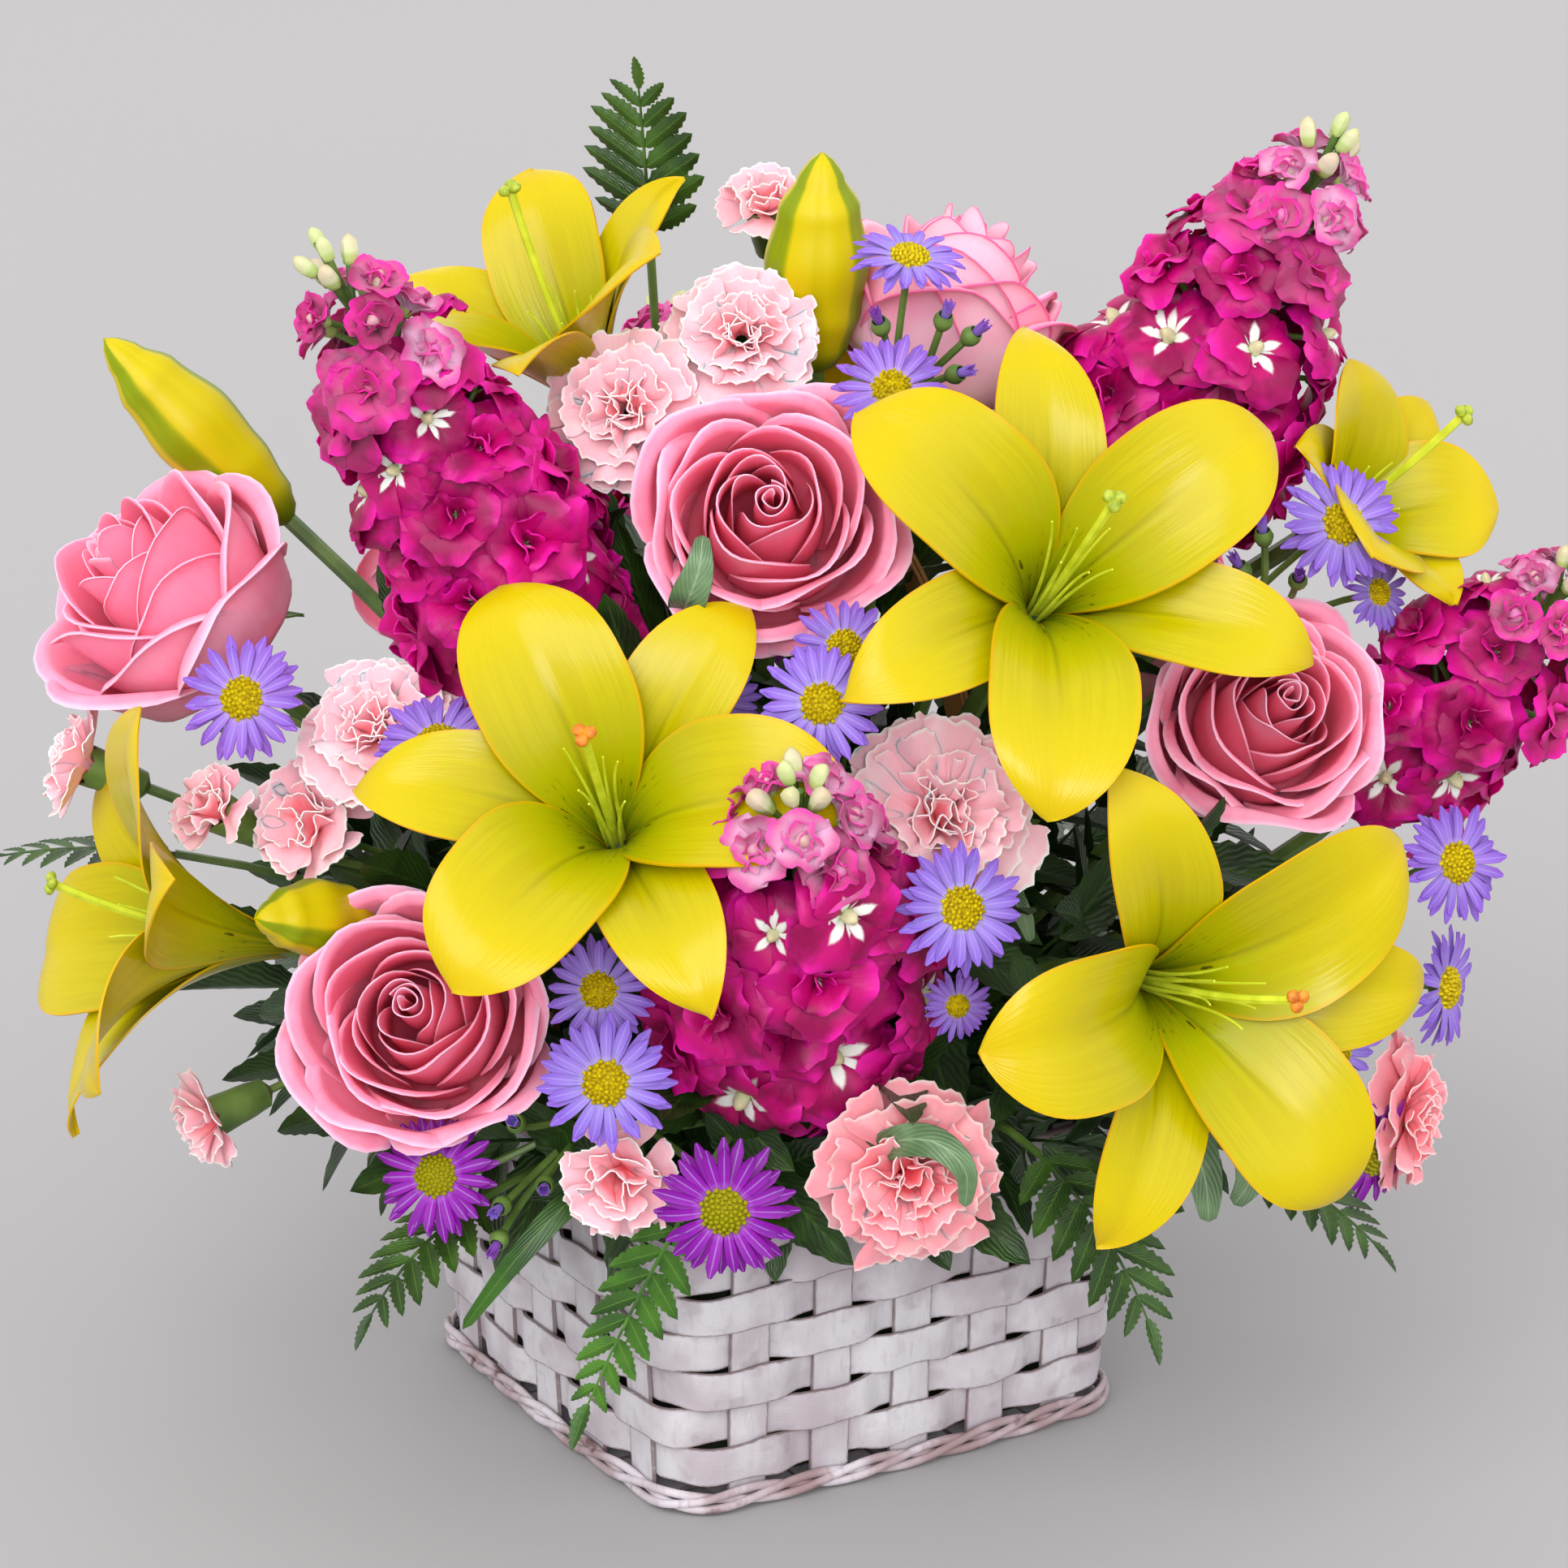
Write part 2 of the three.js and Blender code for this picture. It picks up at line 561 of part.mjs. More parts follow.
// Where each stem comes out of the foam: towards its blooms, but clear of its neighbours.
function stemEntries() {
  const spots = PLANTS.map(({ blooms }) => {
    const way = centreOf(blooms).sub(new THREE.Vector3(0, 0, DOME_Z)).normalize();
    way.z = Math.max(way.z, 0);
    return new THREE.Vector2(way.x, way.y).multiplyScalar(DOME_RADIUS / way.length());
  });
  for (let round = 0; round < SPACING_ROUNDS; round++)
    spots.forEach((spot, i) => spots.slice(i + 1).forEach((other) => keepApart(spot, other)));
  return spots.map((spot) => {
    const fall = Math.sqrt(Math.max(0, 1 - (spot.length() / DOME_RADIUS) ** 2));
    return new THREE.Vector3(spot.x, spot.y, DOME_Z + DOME_RISE * fall);
  });
}

// A smooth way between two points, given its direction at both.
function bend(from, leaving, to, arriving, samples, sway = new THREE.Vector3()) {
  const reach = 0.4 * from.distanceTo(to);
  const first = from.clone().addScaledVector(leaving, reach).add(sway);
  const second = to.clone().addScaledVector(arriving, -reach).add(sway);
  return new THREE.CubicBezierCurve3(from, first, second, to).getPoints(samples);
}

// One cut stem from the foam to its bloom, or to a fork and on to each head of a spray.
function stems({ name, kind, blooms }, entry, grow) {
  const along = entry.clone().sub(FOCUS).normalize();
  const foot = FOCUS.clone().lerp(entry, 1 - STEM_DEPTH);
  const centre = centreOf(blooms);
  const sway = new THREE.Vector3(...(SWAY[name] ?? [0, 0, 0]));
  const alone = blooms.length === 1;
  const halfway = entry.clone().lerp(centre, 0.5).add(new THREE.Vector3(0, 0, FORK_RISE)).add(sway);
  const fork = alone ? centre : halfway;
  const arriving = alone ? outwardOf(blooms[0].faces) : centre.clone().sub(entry).normalize();
  const end = fork.clone().addScaledVector(arriving, 1);
  const main = new THREE.CatmullRomCurve3([foot, ...bend(entry, along, end, arriving, 5, sway)]);
  const solids = [tube(main, kind.stem + grow, 4, 6)];
  for (const bloom of alone ? [] : blooms) {
    const out = outwardOf(bloom.faces);
    const way = bend(fork, arriving, headOf(bloom).addScaledVector(out, 1), out, 4);
    solids.push(tube(new THREE.CatmullRomCurve3(way), TWIG_SHARE * kind.stem + grow, 4, 3));
  }
  return joined(solids);
}

// ---------------------------------------------------------------- assembly
const arrangement = new THREE.Group();

function addPiece(name, solid, { color, roughness }) {
  const material = new THREE.MeshStandardMaterial({ color, roughness, metalness: 0 });
  const mesh = new THREE.Mesh(geometryOf(solid), material);
  mesh.name = name;
  arrangement.add(mesh);
}

const turnedToBasket = (solid) => solidOf(geometryOf(solid).rotateZ(BASKET_TURN));

const WHITEWASH = { color: 0xd9d4d8, roughness: 0.75 };
const BARE_CHIP = { color: 0xb07a3c, roughness: 0.6 };
const LINER_PLASTIC = { color: 0x4f6b4a, roughness: 0.4 };
const WET_FOAM = { color: 0x2f5e38, roughness: 0.95 };

const rimFoot = FIRST_WEAVER_Z + (WEAVERS - 1) * WEAVER_PITCH + WEAVER_WIDTH / 2 + GAP;
addPiece("floor_and_stakes", turnedToBasket(floorAndStakes()), WHITEWASH);
for (let row = 0; row < WEAVERS; row++)
  addPiece(`weaver_${row + 1}`, turnedToBasket(weaver(row)), WHITEWASH);
addPiece("foot_rim", turnedToBasket(band(0, FOOT_RIM_HEIGHT, RIM_INSIDE, FOOT_RIM_OUT)), WHITEWASH);
addPiece(
  "rim_hoop",
  turnedToBasket(band(rimFoot, WALL_HEIGHT, RIM_INSIDE, RIM_INSIDE + RIM_THICKNESS)),
  WHITEWASH,
);
addPiece("handle", turnedToBasket(handle(0)), BARE_CHIP);
addPiece("liner", turnedToBasket(liner()), LINER_PLASTIC);

// Each stem with its blooms, and the room that it needs of its neighbours.
const entries = stemEntries();
const plants = PLANTS.map((plant, i) => {
  const heads = (grow) => joined(plant.blooms.map((bloom) => placed(plant.kind.make(bloom, grow), bloom)));
  return {
    ...plant,
    stem: stems(plant, entries[i], 0),
    stemRoom: stems(plant, entries[i], GAP),
    heads: heads(0),
    headsRoom: heads(GAP),
  };
});

const foam = plants.reduce((block, { stemRoom }) => block.subtract(stemRoom), turnedToBasket(foamBlock()));
addPiece("foam", largestOf(foam), WET_FOAM);

// A bloom gives way to the handle, to every other stem and to the blooms before it.
const handleRoom = turnedToBasket(handle(GAP));
plants.forEach((plant, i) => {
  let heads = plant.heads.subtract(handleRoom);
  plants.forEach((other, j) => {
    if (j !== i) heads = heads.subtract(other.stemRoom);
    if (j < i) heads = heads.subtract(other.headsRoom);
  });
  addPiece(plant.name, largestOf(plant.stem.add(heads)), plant.kind);
});

export default arrangement;
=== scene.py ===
import math
import random
import bpy
from mathutils import Matrix, Vector


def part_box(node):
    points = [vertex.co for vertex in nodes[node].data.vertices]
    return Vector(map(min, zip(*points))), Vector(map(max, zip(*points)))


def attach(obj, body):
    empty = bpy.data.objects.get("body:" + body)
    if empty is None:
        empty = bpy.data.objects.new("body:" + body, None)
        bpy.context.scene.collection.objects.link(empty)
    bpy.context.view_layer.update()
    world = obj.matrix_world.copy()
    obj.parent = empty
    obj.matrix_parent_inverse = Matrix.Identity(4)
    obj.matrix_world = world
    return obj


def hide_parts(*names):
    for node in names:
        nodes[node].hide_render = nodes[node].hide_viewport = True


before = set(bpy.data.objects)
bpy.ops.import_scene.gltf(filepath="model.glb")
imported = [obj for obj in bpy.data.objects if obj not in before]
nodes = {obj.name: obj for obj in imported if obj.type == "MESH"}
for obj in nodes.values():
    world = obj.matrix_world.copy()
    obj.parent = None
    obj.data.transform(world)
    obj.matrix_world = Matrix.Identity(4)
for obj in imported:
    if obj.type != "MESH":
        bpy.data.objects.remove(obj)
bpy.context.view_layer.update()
MM = 0.001

# The studio: a plain pale floor that fills the picture, soft light from the upper left and
# from the front, and a weaker one from the right. The camera stands where the photograph was
# taken from: in front of the basket, 1.65 m away and 18.5 degrees above level.
scene = bpy.context.scene
scene.view_settings.view_transform = "Standard"

CAMERA_DISTANCE = 1.65
CAMERA_HEIGHT = math.radians(18.5)
camera_target = Vector((4, 0, 207)) * MM
camera_back = Vector((0, -math.cos(CAMERA_HEIGHT), math.sin(CAMERA_HEIGHT)))
bpy.ops.object.camera_add(location=camera_target + CAMERA_DISTANCE * camera_back)
camera = bpy.context.object
camera.name = "camera"
camera.rotation_euler = camera_back.to_track_quat("Z", "Y").to_euler()
camera.data.sensor_width = 36
camera.data.lens = 117.35
scene.camera = camera


def soft_light(name, at, softness, strength):
    """A far, wide light that falls evenly on the whole floor."""
    bpy.ops.object.light_add(type="SUN", location=at)
    light = bpy.context.object
    light.name = name
    light.data.angle = math.radians(softness)
    light.data.energy = strength
    light.rotation_euler = Vector(at).to_track_quat("Z", "Y").to_euler()


soft_light("key_light", (-0.8, -1.7, 1.5), 45, 1.6)
soft_light("front_light", (0.1, -1.7, 0.62), 25, 1.1)
soft_light("side_light", (1.5, -1.3, 1.0), 50, 0.35)
soft_light("back_light", (0.3, 1.7, 1.2), 50, 0.35)

studio = bpy.data.worlds.new("studio")
scene.world = studio
studio.use_nodes = True
studio.node_tree.nodes["Background"].inputs["Color"].default_value = (0.96, 0.95, 0.96, 1)
studio.node_tree.nodes["Background"].inputs["Strength"].default_value = 1.0


def tint(red, green, blue):
    """A colour as seen on a screen, from 0 to 1, as the light that it stands for."""
    return tuple(c / 12.92 if c <= 0.04 else ((c + 0.055) / 1.055) ** 2.4 for c in (red, green, blue)) + (1,)


class Nodes:
    """Adds nodes to a material or to a group, one by one."""

    def __init__(self, tree):
        self.tree = tree

    def put(self, value, socket):
        if isinstance(value, bpy.types.NodeSocket):
            self.tree.links.new(value, socket)
        else:
            socket.default_value = value

    def node(self, kind, settings=None, **inputs):
        made = self.tree.nodes.new(kind)
        for setting, value in (settings or {}).items():
            setattr(made, setting, value)
        for name, value in inputs.items():
            self.put(value, made.inputs[name.replace("_", " ")])
        return made

    def fed(self, made, *values):
        """Feeds a node's first sockets, in order, and gives its first output."""
        for value, socket in zip(values, made.inputs):
            self.put(value, socket)
        return made.outputs[0]

    def math(self, operation, *values):
        return self.fed(self.node("ShaderNodeMath", {"operation": operation}), *values)

    def times(self, first, second):
        return self.math("MULTIPLY", first, second)

    def plus(self, first, second):
        return self.math("ADD", first, second)

    def ramp(self, value, *stops):
        made = self.tree.nodes.new("ShaderNodeValToRGB")
        while len(made.color_ramp.elements) < len(stops):
            made.color_ramp.elements.new(1)
        for element, (position, colour) in zip(made.color_ramp.elements, stops):
            element.position = position
            element.color = colour
        self.put(value, made.inputs["Fac"])
        return made.outputs["Color"]

    def blend(self, share, first, second):
        made = self.tree.nodes.new("ShaderNodeMix")
        made.data_type = "RGBA"
        for value, socket in zip((share, first, second), (made.inputs[0], made.inputs[6], made.inputs[7])):
            self.put(value, socket)
        return made.outputs[2]

    def fade(self, value, start, end, low=0.0, high=1.0):
        """low where value is at start, high where it is at end, and an easy slope between."""
        made = self.node("ShaderNodeMapRange", {"interpolation_type": "SMOOTHSTEP"})
        return self.fed(made, value, start, end, low, high)

    def along(self):
        """How far across (0 to 1) and along (0 to 1) its own petal, leaf or strip a point is."""
        split = self.node("ShaderNodeSeparateXYZ", Vector=self.node("ShaderNodeUVMap").outputs["UV"])
        return split.outputs["X"], split.outputs["Y"]

    def from_rib(self):
        """0 on the middle line of a petal, leaf or strip, and 1 at its two edges."""
        return self.times(self.math("ABSOLUTE", self.math("SUBTRACT", self.along()[0], 0.5)), 2)

    def noise(self, scale, detail=2.0, stretch=(1, 1, 1)):
        place = self.node("ShaderNodeTexCoord").outputs["Object"]
        moved = self.node("ShaderNodeMapping", Vector=place, Scale=stretch)
        made = self.node("ShaderNodeTexNoise", Vector=moved.outputs["Vector"], Scale=scale, Detail=detail)
        return made.outputs["Fac"]

    def value_of(self, name):
        return self.node("ShaderNodeAttribute", {"attribute_name": name}).outputs["Fac"]

    def effect(self, shared, **values):
        """Puts a shared effect in, with this finish's own values, and gives its outputs."""
        made = self.node("ShaderNodeGroup", {"node_tree": shared.tree}, **values)
        return made.outputs


class Finish(Nodes):
    """A material."""

    def __init__(self, name, roughness=0.5):
        self.material = bpy.data.materials.new(name)
        self.material.use_nodes = True
        super().__init__(self.material.node_tree)
        self.shader = self.tree.nodes["Principled BSDF"]
        self.shader.inputs["Roughness"].default_value = roughness

    def colour(self, value):
        self.put(value, self.shader.inputs["Base Color"])

    def petal(self, glow, radius, specular=0.22):
        """Thin living tissue: some of the light goes in at one side and out at the other."""
        self.shader.inputs["Subsurface Weight"].default_value = glow
        self.shader.inputs["Subsurface Radius"].default_value = (1.0, 0.32, 0.34)
        self.shader.inputs["Subsurface Scale"].default_value = radius
        self.shader.inputs["Specular IOR Level"].default_value = specular

    def bump(self, height, strength, distance):
        made = self.node("ShaderNodeBump", Height=height, Strength=strength, Distance=distance)
        self.put(made.outputs["Normal"], self.shader.inputs["Normal"])


def mottled(name, roughness, scale, detail, dark, light, start=0.3):
    """A finish with blotches of two colours."""
    made = Finish(name, roughness)
    made.colour(made.ramp(made.noise(scale, detail), (start, dark), (0.7, light)))
    return made


backdrop = mottled("studio_floor", 0.9, 0.4, 2, tint(0.674, 0.668, 0.670), tint(0.680, 0.674, 0.676))
backdrop.shader.inputs["Specular IOR Level"].default_value = 0.0
bpy.ops.object.select_all(action="DESELECT")
bpy.ops.mesh.primitive_plane_add(size=30, location=(0, 0, -0.0002))
floor = bpy.context.object
floor.name = "studio_floor"
floor.data.materials.append(backdrop.material)

# Floor and stakes: strips of whitewashed wood chip, 1.2 mm thick. Nine run each way and are
# woven into the floor; five of each nine turn up at its edge and stand as the wall's stakes.
# The square basket stands corner first, turned by 31 degrees.
CHIP = 1.2
WALL_HEIGHT = 108
CORNER = 16
STAKE_PITCH = 29.5


def spun(degrees):
    return Matrix.Rotation(math.radians(degrees), 4, "Z")


basket_turn = spun(31)


def wall_straight(z):
    return 82 + 4.5 * z / WALL_HEIGHT - CORNER


def wall_point(side, along, z, out):
    """A point of the wall, in mm: along from the middle of a side, past which it turns the corner."""
    straight = wall_straight(z)
    flat = min(abs(along), straight)
    turn = math.copysign(min((abs(along) - flat) / CORNER, math.pi / 4), along)
    bow = 2.5 * math.cos(flat / straight * math.pi / 2)
    x = math.copysign(flat, along) + (CORNER + out) * math.sin(turn)
    y = -straight - (CORNER + out) * math.cos(turn) - bow
    return basket_turn @ spun(90 * side) @ Vector((x, y, z))


def sheet(across, along, shape, thickness=0.0):
    """A grid whose points shape(u, v) puts in place, in mm: u is -1 to 1 across, v 0 to 1 along it."""
    bpy.ops.object.select_all(action="DESELECT")
    bpy.ops.mesh.primitive_grid_add(x_subdivisions=across, y_subdivisions=along, size=2)
    made = bpy.context.object
    for point in made.data.vertices:
        point.co = MM * Vector(shape(point.co.x, (point.co.y + 1) / 2))
    bpy.ops.object.mode_set(mode="EDIT")
    bpy.ops.mesh.select_all(action="SELECT")
    bpy.ops.mesh.remove_doubles(threshold=0.00002)
    bpy.ops.mesh.normals_make_consistent(inside=False)
    bpy.ops.object.mode_set(mode="OBJECT")
    if thickness:
        solid = made.modifiers.new("thickness", "SOLIDIFY")
        solid.thickness = thickness * MM
        solid.offset = 0
        bpy.ops.object.modifier_apply(modifier="thickness")
    return made


def round_body(across, along, profile, thickness=0.0):
    """A body round the Z axis; profile(u, v) gives its radius and its height, in mm."""
    def shape(u, v):
        radius, height = profile(u, v)
        return radius * math.cos(u * math.pi), radius * math.sin(u * math.pi), height
    return sheet(across, along, shape, thickness)


def wearing(piece, finish):
    piece.data.materials.clear()
    piece.data.materials.append(finish.material)
    return piece


def joined(pieces, name):
    bpy.ops.object.select_all(action="DESELECT")
    for piece in pieces:
        piece.select_set(True)
    bpy.context.view_layer.objects.active = pieces[0]
    if len(pieces) > 1:
        bpy.ops.object.join()
    made = bpy.context.object
    made.name = name
    made.data.name = name
    return made


def finished(pieces, name, slot, *nodes_replaced, crease=50):
    """One piece of the object, from its parts."""
    made = joined(pieces, name)
    bpy.ops.object.shade_smooth_by_angle(angle=math.radians(crease))
    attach(made, "root")
    if nodes_replaced:
        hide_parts(*nodes_replaced)
    return made


def eased(share):
    share = min(max(share, 0), 1)
    return share * share * (3 - 2 * share)


def between(points, place):
    """The value at a place, from [place, value] pairs in order, with easy slopes."""
    if place <= points[0][0]:
        return points[0][1]
    for (start, low), (end, high) in zip(points, points[1:]):
        if place <= end:
            return low + (high - low) * eased((place - start) / (end - start))
    return points[-1][1]


class Shared(Nodes):
    """An effect that several finishes use: a group of nodes with named inputs and outputs."""

    def __init__(self, name, inputs, outputs=("Colour", "Height")):
        super().__init__(bpy.data.node_groups.new(name, "ShaderNodeTree"))
        for way, sockets in (("INPUT", inputs), ("OUTPUT", outputs)):
            for socket in sockets:
                kind = "NodeSocketColor" if "Colour" in socket else "NodeSocketFloat"
                self.tree.interface.new_socket(name=socket, in_out=way, socket_type=kind)
        self.given = self.tree.nodes.new("NodeGroupInput").outputs
        self.result = self.tree.nodes.new("NodeGroupOutput").inputs

    def gives(self, colour, height):
        self.put(colour, self.result["Colour"])
        self.put(height, self.result["Height"])


def skinned(name, roughness, shared, values, bump, tissue=None):
    """A finish whose colour and relief come from a shared effect, given its values in order."""
    made = Finish(name, roughness)
    if tissue:
        made.petal(*tissue)
    skin = made.node("ShaderNodeGroup", {"node_tree": shared.tree})
    for value, socket in zip(values, skin.inputs):
        made.put(value, socket)
    made.colour(skin.outputs["Colour"])
    made.bump(skin.outputs["Height"], *bump)
    return made


# Fine lines that run along a strip, a petal or a leaf: the wood's grain and the petals' veins.
long_lines = Shared("long_lines", ("Lines across", "Lines along"), ("Height",))
stretched = long_lines.node("ShaderNodeCombineXYZ", X=long_lines.given["Lines across"],
                            Y=long_lines.given["Lines along"], Z=1.0)
placed = long_lines.node("ShaderNodeVectorMath", {"operation": "MULTIPLY"})
long_lines.put(long_lines.node("ShaderNodeUVMap").outputs["UV"], placed.inputs[0])
long_lines.put(stretched.outputs["Vector"], placed.inputs[1])
lines = long_lines.node("ShaderNodeTexNoise", Vector=placed.outputs["Vector"], Scale=1.0, Detail=3.0)
long_lines.put(lines.outputs["Fac"], long_lines.result["Height"])

# Wood chip: long fine grain, blotches where the wash is thin, and bare brown edges.
chip_grain = Shared("chip_grain", ("Wash Colour", "Stain Colour", "Bare Colour", "Worn"))
wash, stain, bare, worn = chip_grain.given[:4]
grain = chip_grain.effect(long_lines, Lines_across=34.0, Lines_along=260.0)["Height"]
streak = chip_grain.noise(420, 2, (1, 1, 0.3))
edge = chip_grain.plus(chip_grain.from_rib(), chip_grain.times(grain, 0.24))
washed = chip_grain.blend(chip_grain.fade(chip_grain.noise(38, 3), 0.36, 0.66), wash, stain)
washed = chip_grain.blend(chip_grain.fade(streak, 0.52, 0.72, 0.0, 0.4), washed, stain)
thin = chip_grain.times(chip_grain.fade(chip_grain.noise(95, 3), 0.60, 0.72), worn)
washed = chip_grain.blend(thin, washed, bare)
washed = chip_grain.blend(chip_grain.fade(edge, 1.0, 1.12, 0.0, 0.75), washed, bare)
chip_grain.gives(washed, chip_grain.plus(streak, chip_grain.times(grain, 0.8)))


def chip_finish(name, *values):
    return skinned(name, 0.62, chip_grain, values, (0.35, 0.0006))


whitewash = chip_finish("whitewash", tint(0.80, 0.79, 0.81), tint(0.70, 0.66, 0.69),
                        tint(0.40, 0.30, 0.29), 0.22)


def strip_path(offset, top):
    """The middle line of a strip across the floor, as (y, z), up both walls to z = top."""
    def wall_y(z):
        return -(basket_turn.inverted() @ wall_point(0, offset, z, 0)).y
    foot = wall_y(6)
    right = [(foot + (wall_y(z) - foot) * min(z / 8, 1), z) for z in (1.6, 4, 8, 20, 40, 60, 80, 95, top)]
    right = [(y, z) for y, z in right if z <= top]
    right[0] = (foot - 3, 1.5)
    floor_line = [(foot * k / 18 * 0.94, 1.5) for k in range(-18, 19)]
    return [(-y, z) for y, z in reversed(right)] + floor_line + right


def floor_strip(k, across_way, top):
    offset = (k - 4) * STAKE_PITCH / 2
    line = strip_path(offset, top)

    def shape(u, v):
        place = v * (len(line) - 1)
        i = min(int(place), len(line) - 2)
        y = line[i][0] + (line[i + 1][0] - line[i][0]) * (place - i)
        z = line[i][1] + (line[i + 1][1] - line[i][1]) * (place - i)
        inside = max(0, min(1, (76 - abs(y)) / 8))
        z += 0.75 * math.cos(math.pi * (y / (STAKE_PITCH / 2) + k + across_way)) * inside
        half = (7 if z > 3 or k % 2 == 0 else 6.6) * (1 - 0.03 * math.sin(y * 0.3 + z * 0.11 + k))
        bulge = 0.25 * (1 - u * u)
        if z > 4:
            y += math.copysign(bulge, y)
        return basket_turn @ spun(90 * across_way) @ Vector((offset + u * half, y, z))
    return sheet(2, len(line) - 1, shape, CHIP)


strips = [wearing(floor_strip(k, way, WALL_HEIGHT if k % 2 == 0 else 1.6), whitewash)
          for way in (0, 1) for k in range(9)]
finished(strips, "woven_floor_and_stakes", "whitewashed_chip", "floor_and_stakes")

# Weavers: seven broad strips of the same chip, woven round the wall over one stake and under
# the next. Each bulges a little, and neither its edges nor its run are quite even.
WEAVER_PITCH = 13.2
LOWEST_WEAVER = 16.5


def wall_reach(z):
    """From the middle of a side to the middle of its corner, along the wall."""
    return wall_straight(z) + CORNER * math.pi / 4


def way_round(share, z):
    """The side, and the place along it, that a share of the way round the wall comes to."""
    place = share * 4 % 4
    side = int(place)
    return side, (2 * (place - side) - 1) * wall_reach(z)


def weaver(row):
    wobble = random.Random(40 + row)
    phases = [wobble.uniform(0, 6.3) for _ in range(5)]
    level = LOWEST_WEAVER + row * WEAVER_PITCH
    last = 2 * STAKE_PITCH

    def shape(v, share):
        side, along = way_round(share, level)
        beyond = max(abs(along) - last, 0) / (wall_reach(level) - last) * 0.5
        count = side * 5 + 2 + math.copysign(min(abs(along), last) / STAKE_PITCH + beyond, along)
        over = max(-1, min(1, 1.7 * math.cos(math.pi * (count + row))))
        over = math.sin(over * math.pi / 2)
        run = share * 2 * math.pi
        half = 6.5 + 0.3 * math.sin(17 * run + phases[0]) + 0.25 * math.sin(29 * run + phases[1])
        half -= 0.30 * (1 - over) / 2
        rise = 0.40 * math.sin(9 * run + phases[2]) + 0.25 * math.sin(23 * run + phases[3])
        lean = 0.25 * math.sin(13 * run + phases[4])
        out = (1.75 if over > 0 else 1.5) * over + 0.55 * (1 - v * v) * (0.5 + 0.5 * over) + lean * v
        return wall_point(side, along, level + v * half + rise, out)
    return sheet(4, 280, shape, CHIP)


for row in range(7):
    strip = wearing(weaver(row), whitewash)
    finished([strip], f"woven_strip_{row + 1}", "whitewashed_chip", f"weaver_{row + 1}")

# Foot rim: three split reeds, whitewashed over brown, twisted loosely round the foot of the
# wall. Rim hoop: a flat hoop outside the top of the stakes, a round reed over it and a thin
# strip lashed round both.
reed_wash = chip_finish("reed_wash", tint(0.82, 0.79, 0.82), tint(0.60, 0.50, 0.51),
                        tint(0.34, 0.20, 0.17), 0.8)


def twisted_reed(strand, turns, middle_z, middle_out, sway_z, sway_out, radius):
    def shape(u, share):
        side, along = way_round(share, middle_z)
        twist = 2 * math.pi * (turns * share + strand / 3)
        wander = 0.3 * math.sin(2 * math.pi * 5 * share + strand)
        z = middle_z + sway_z * math.sin(twist) + wander
        out = middle_out + sway_out * math.cos(twist)
        angle = u * math.pi
        return wall_point(side, along, z + radius * 1.25 * math.sin(angle), out + radius * math.cos(angle))
    return wearing(sheet(8, 300, shape), reed_wash)


foot_reeds = [twisted_reed(strand, 9, 4.7, 2.9, 2.6, 0.8, 1.25) for strand in range(3)]
finished(foot_reeds, "twisted_foot_reeds", "whitewashed_chip", "foot_rim", crease=80)

rim_low, rim_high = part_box("rim_hoop")
rim_bottom, rim_top = rim_low.z / MM, rim_high.z / MM
rim_middle, rim_half = (rim_bottom + rim_top) / 2, (rim_top - rim_bottom) / 2


def flat_hoop(u, share):
    side, along = way_round(share, WALL_HEIGHT)
    return wall_point(side, along, rim_middle - 1 + u * (rim_half - 1.5), 2.2 + 0.7 * (1 - u * u))


def top_reed(u, share):
    side, along = way_round(share, WALL_HEIGHT)
    angle = u * math.pi
    return wall_point(side, along, rim_top - 1.6 + 1.6 * math.sin(angle), 2.9 + 1.6 * math.cos(angle))


def lashing(u, share):
    side, along = way_round(share, WALL_HEIGHT)
    wind = 2 * math.pi * 28 * share
    z = rim_middle + (rim_half - 0.6) * math.sin(wind)
    return wall_point(side, along + u * 2.2, z, 2.6 + 2.2 * math.cos(wind))


rim_parts = [wearing(sheet(4, 200, flat_hoop, 1.8), whitewash)]
rim_parts += [wearing(sheet(8, 200, top_reed), reed_wash), wearing(sheet(2, 900, lashing, 0.7), whitewash)]
finished(rim_parts, "lashed_rim", "whitewashed_chip", "rim_hoop")

# Handle: two strips of bare tan chip, one on the other, bent over the basket. Their feet are
# pushed down inside the weave. The chip's colours are paler than the real tan: painted light
# for the shade that the blooms cast on the handle.
tan_chip_painted_lighter = chip_finish("tan_chip_painted_lighter", tint(0.94, 0.76, 0.50), tint(0.88, 0.64, 0.36),
                       tint(0.55, 0.36, 0.18), 0.4)
HANDLE_HALF = 85
HANDLE_RISE = 206.5
HANDLE_FOOT = 45
FOOT_SHARE = 0.1


def handle_line(v):
    """The arch's middle line, as (x, z, the way it faces), in the basket's own XZ plane."""
    if v < FOOT_SHARE or v > 1 - FOOT_SHARE:
        side = 1 if v < 0.5 else -1
        z = HANDLE_FOOT + (WALL_HEIGHT - HANDLE_FOOT) * min(v, 1 - v) / FOOT_SHARE
        return side * (HANDLE_HALF - 4.5 * (WALL_HEIGHT - z) / WALL_HEIGHT), z, (0 if side > 0 else math.pi)
    angle = (v - FOOT_SHARE) / (1 - 2 * FOOT_SHARE) * math.pi
    outwards = math.atan2(math.sin(angle) * HANDLE_HALF, math.cos(angle) * HANDLE_RISE)
    return HANDLE_HALF * math.cos(angle), WALL_HEIGHT + HANDLE_RISE * math.sin(angle), outwards


def handle_strip(depth, half):
    def shape(u, v):
        x, z, outwards = handle_line(v)
        out = depth + 0.25 * (1 - u * u)
        reach = half * (1 + 0.03 * math.sin(40 * v + depth))
        return basket_turn @ Vector((x + out * math.cos(outwards), u * reach, z + out * math.sin(outwards)))
    return wearing(sheet(4, 90, shape, 1.25), tan_chip_painted_lighter)


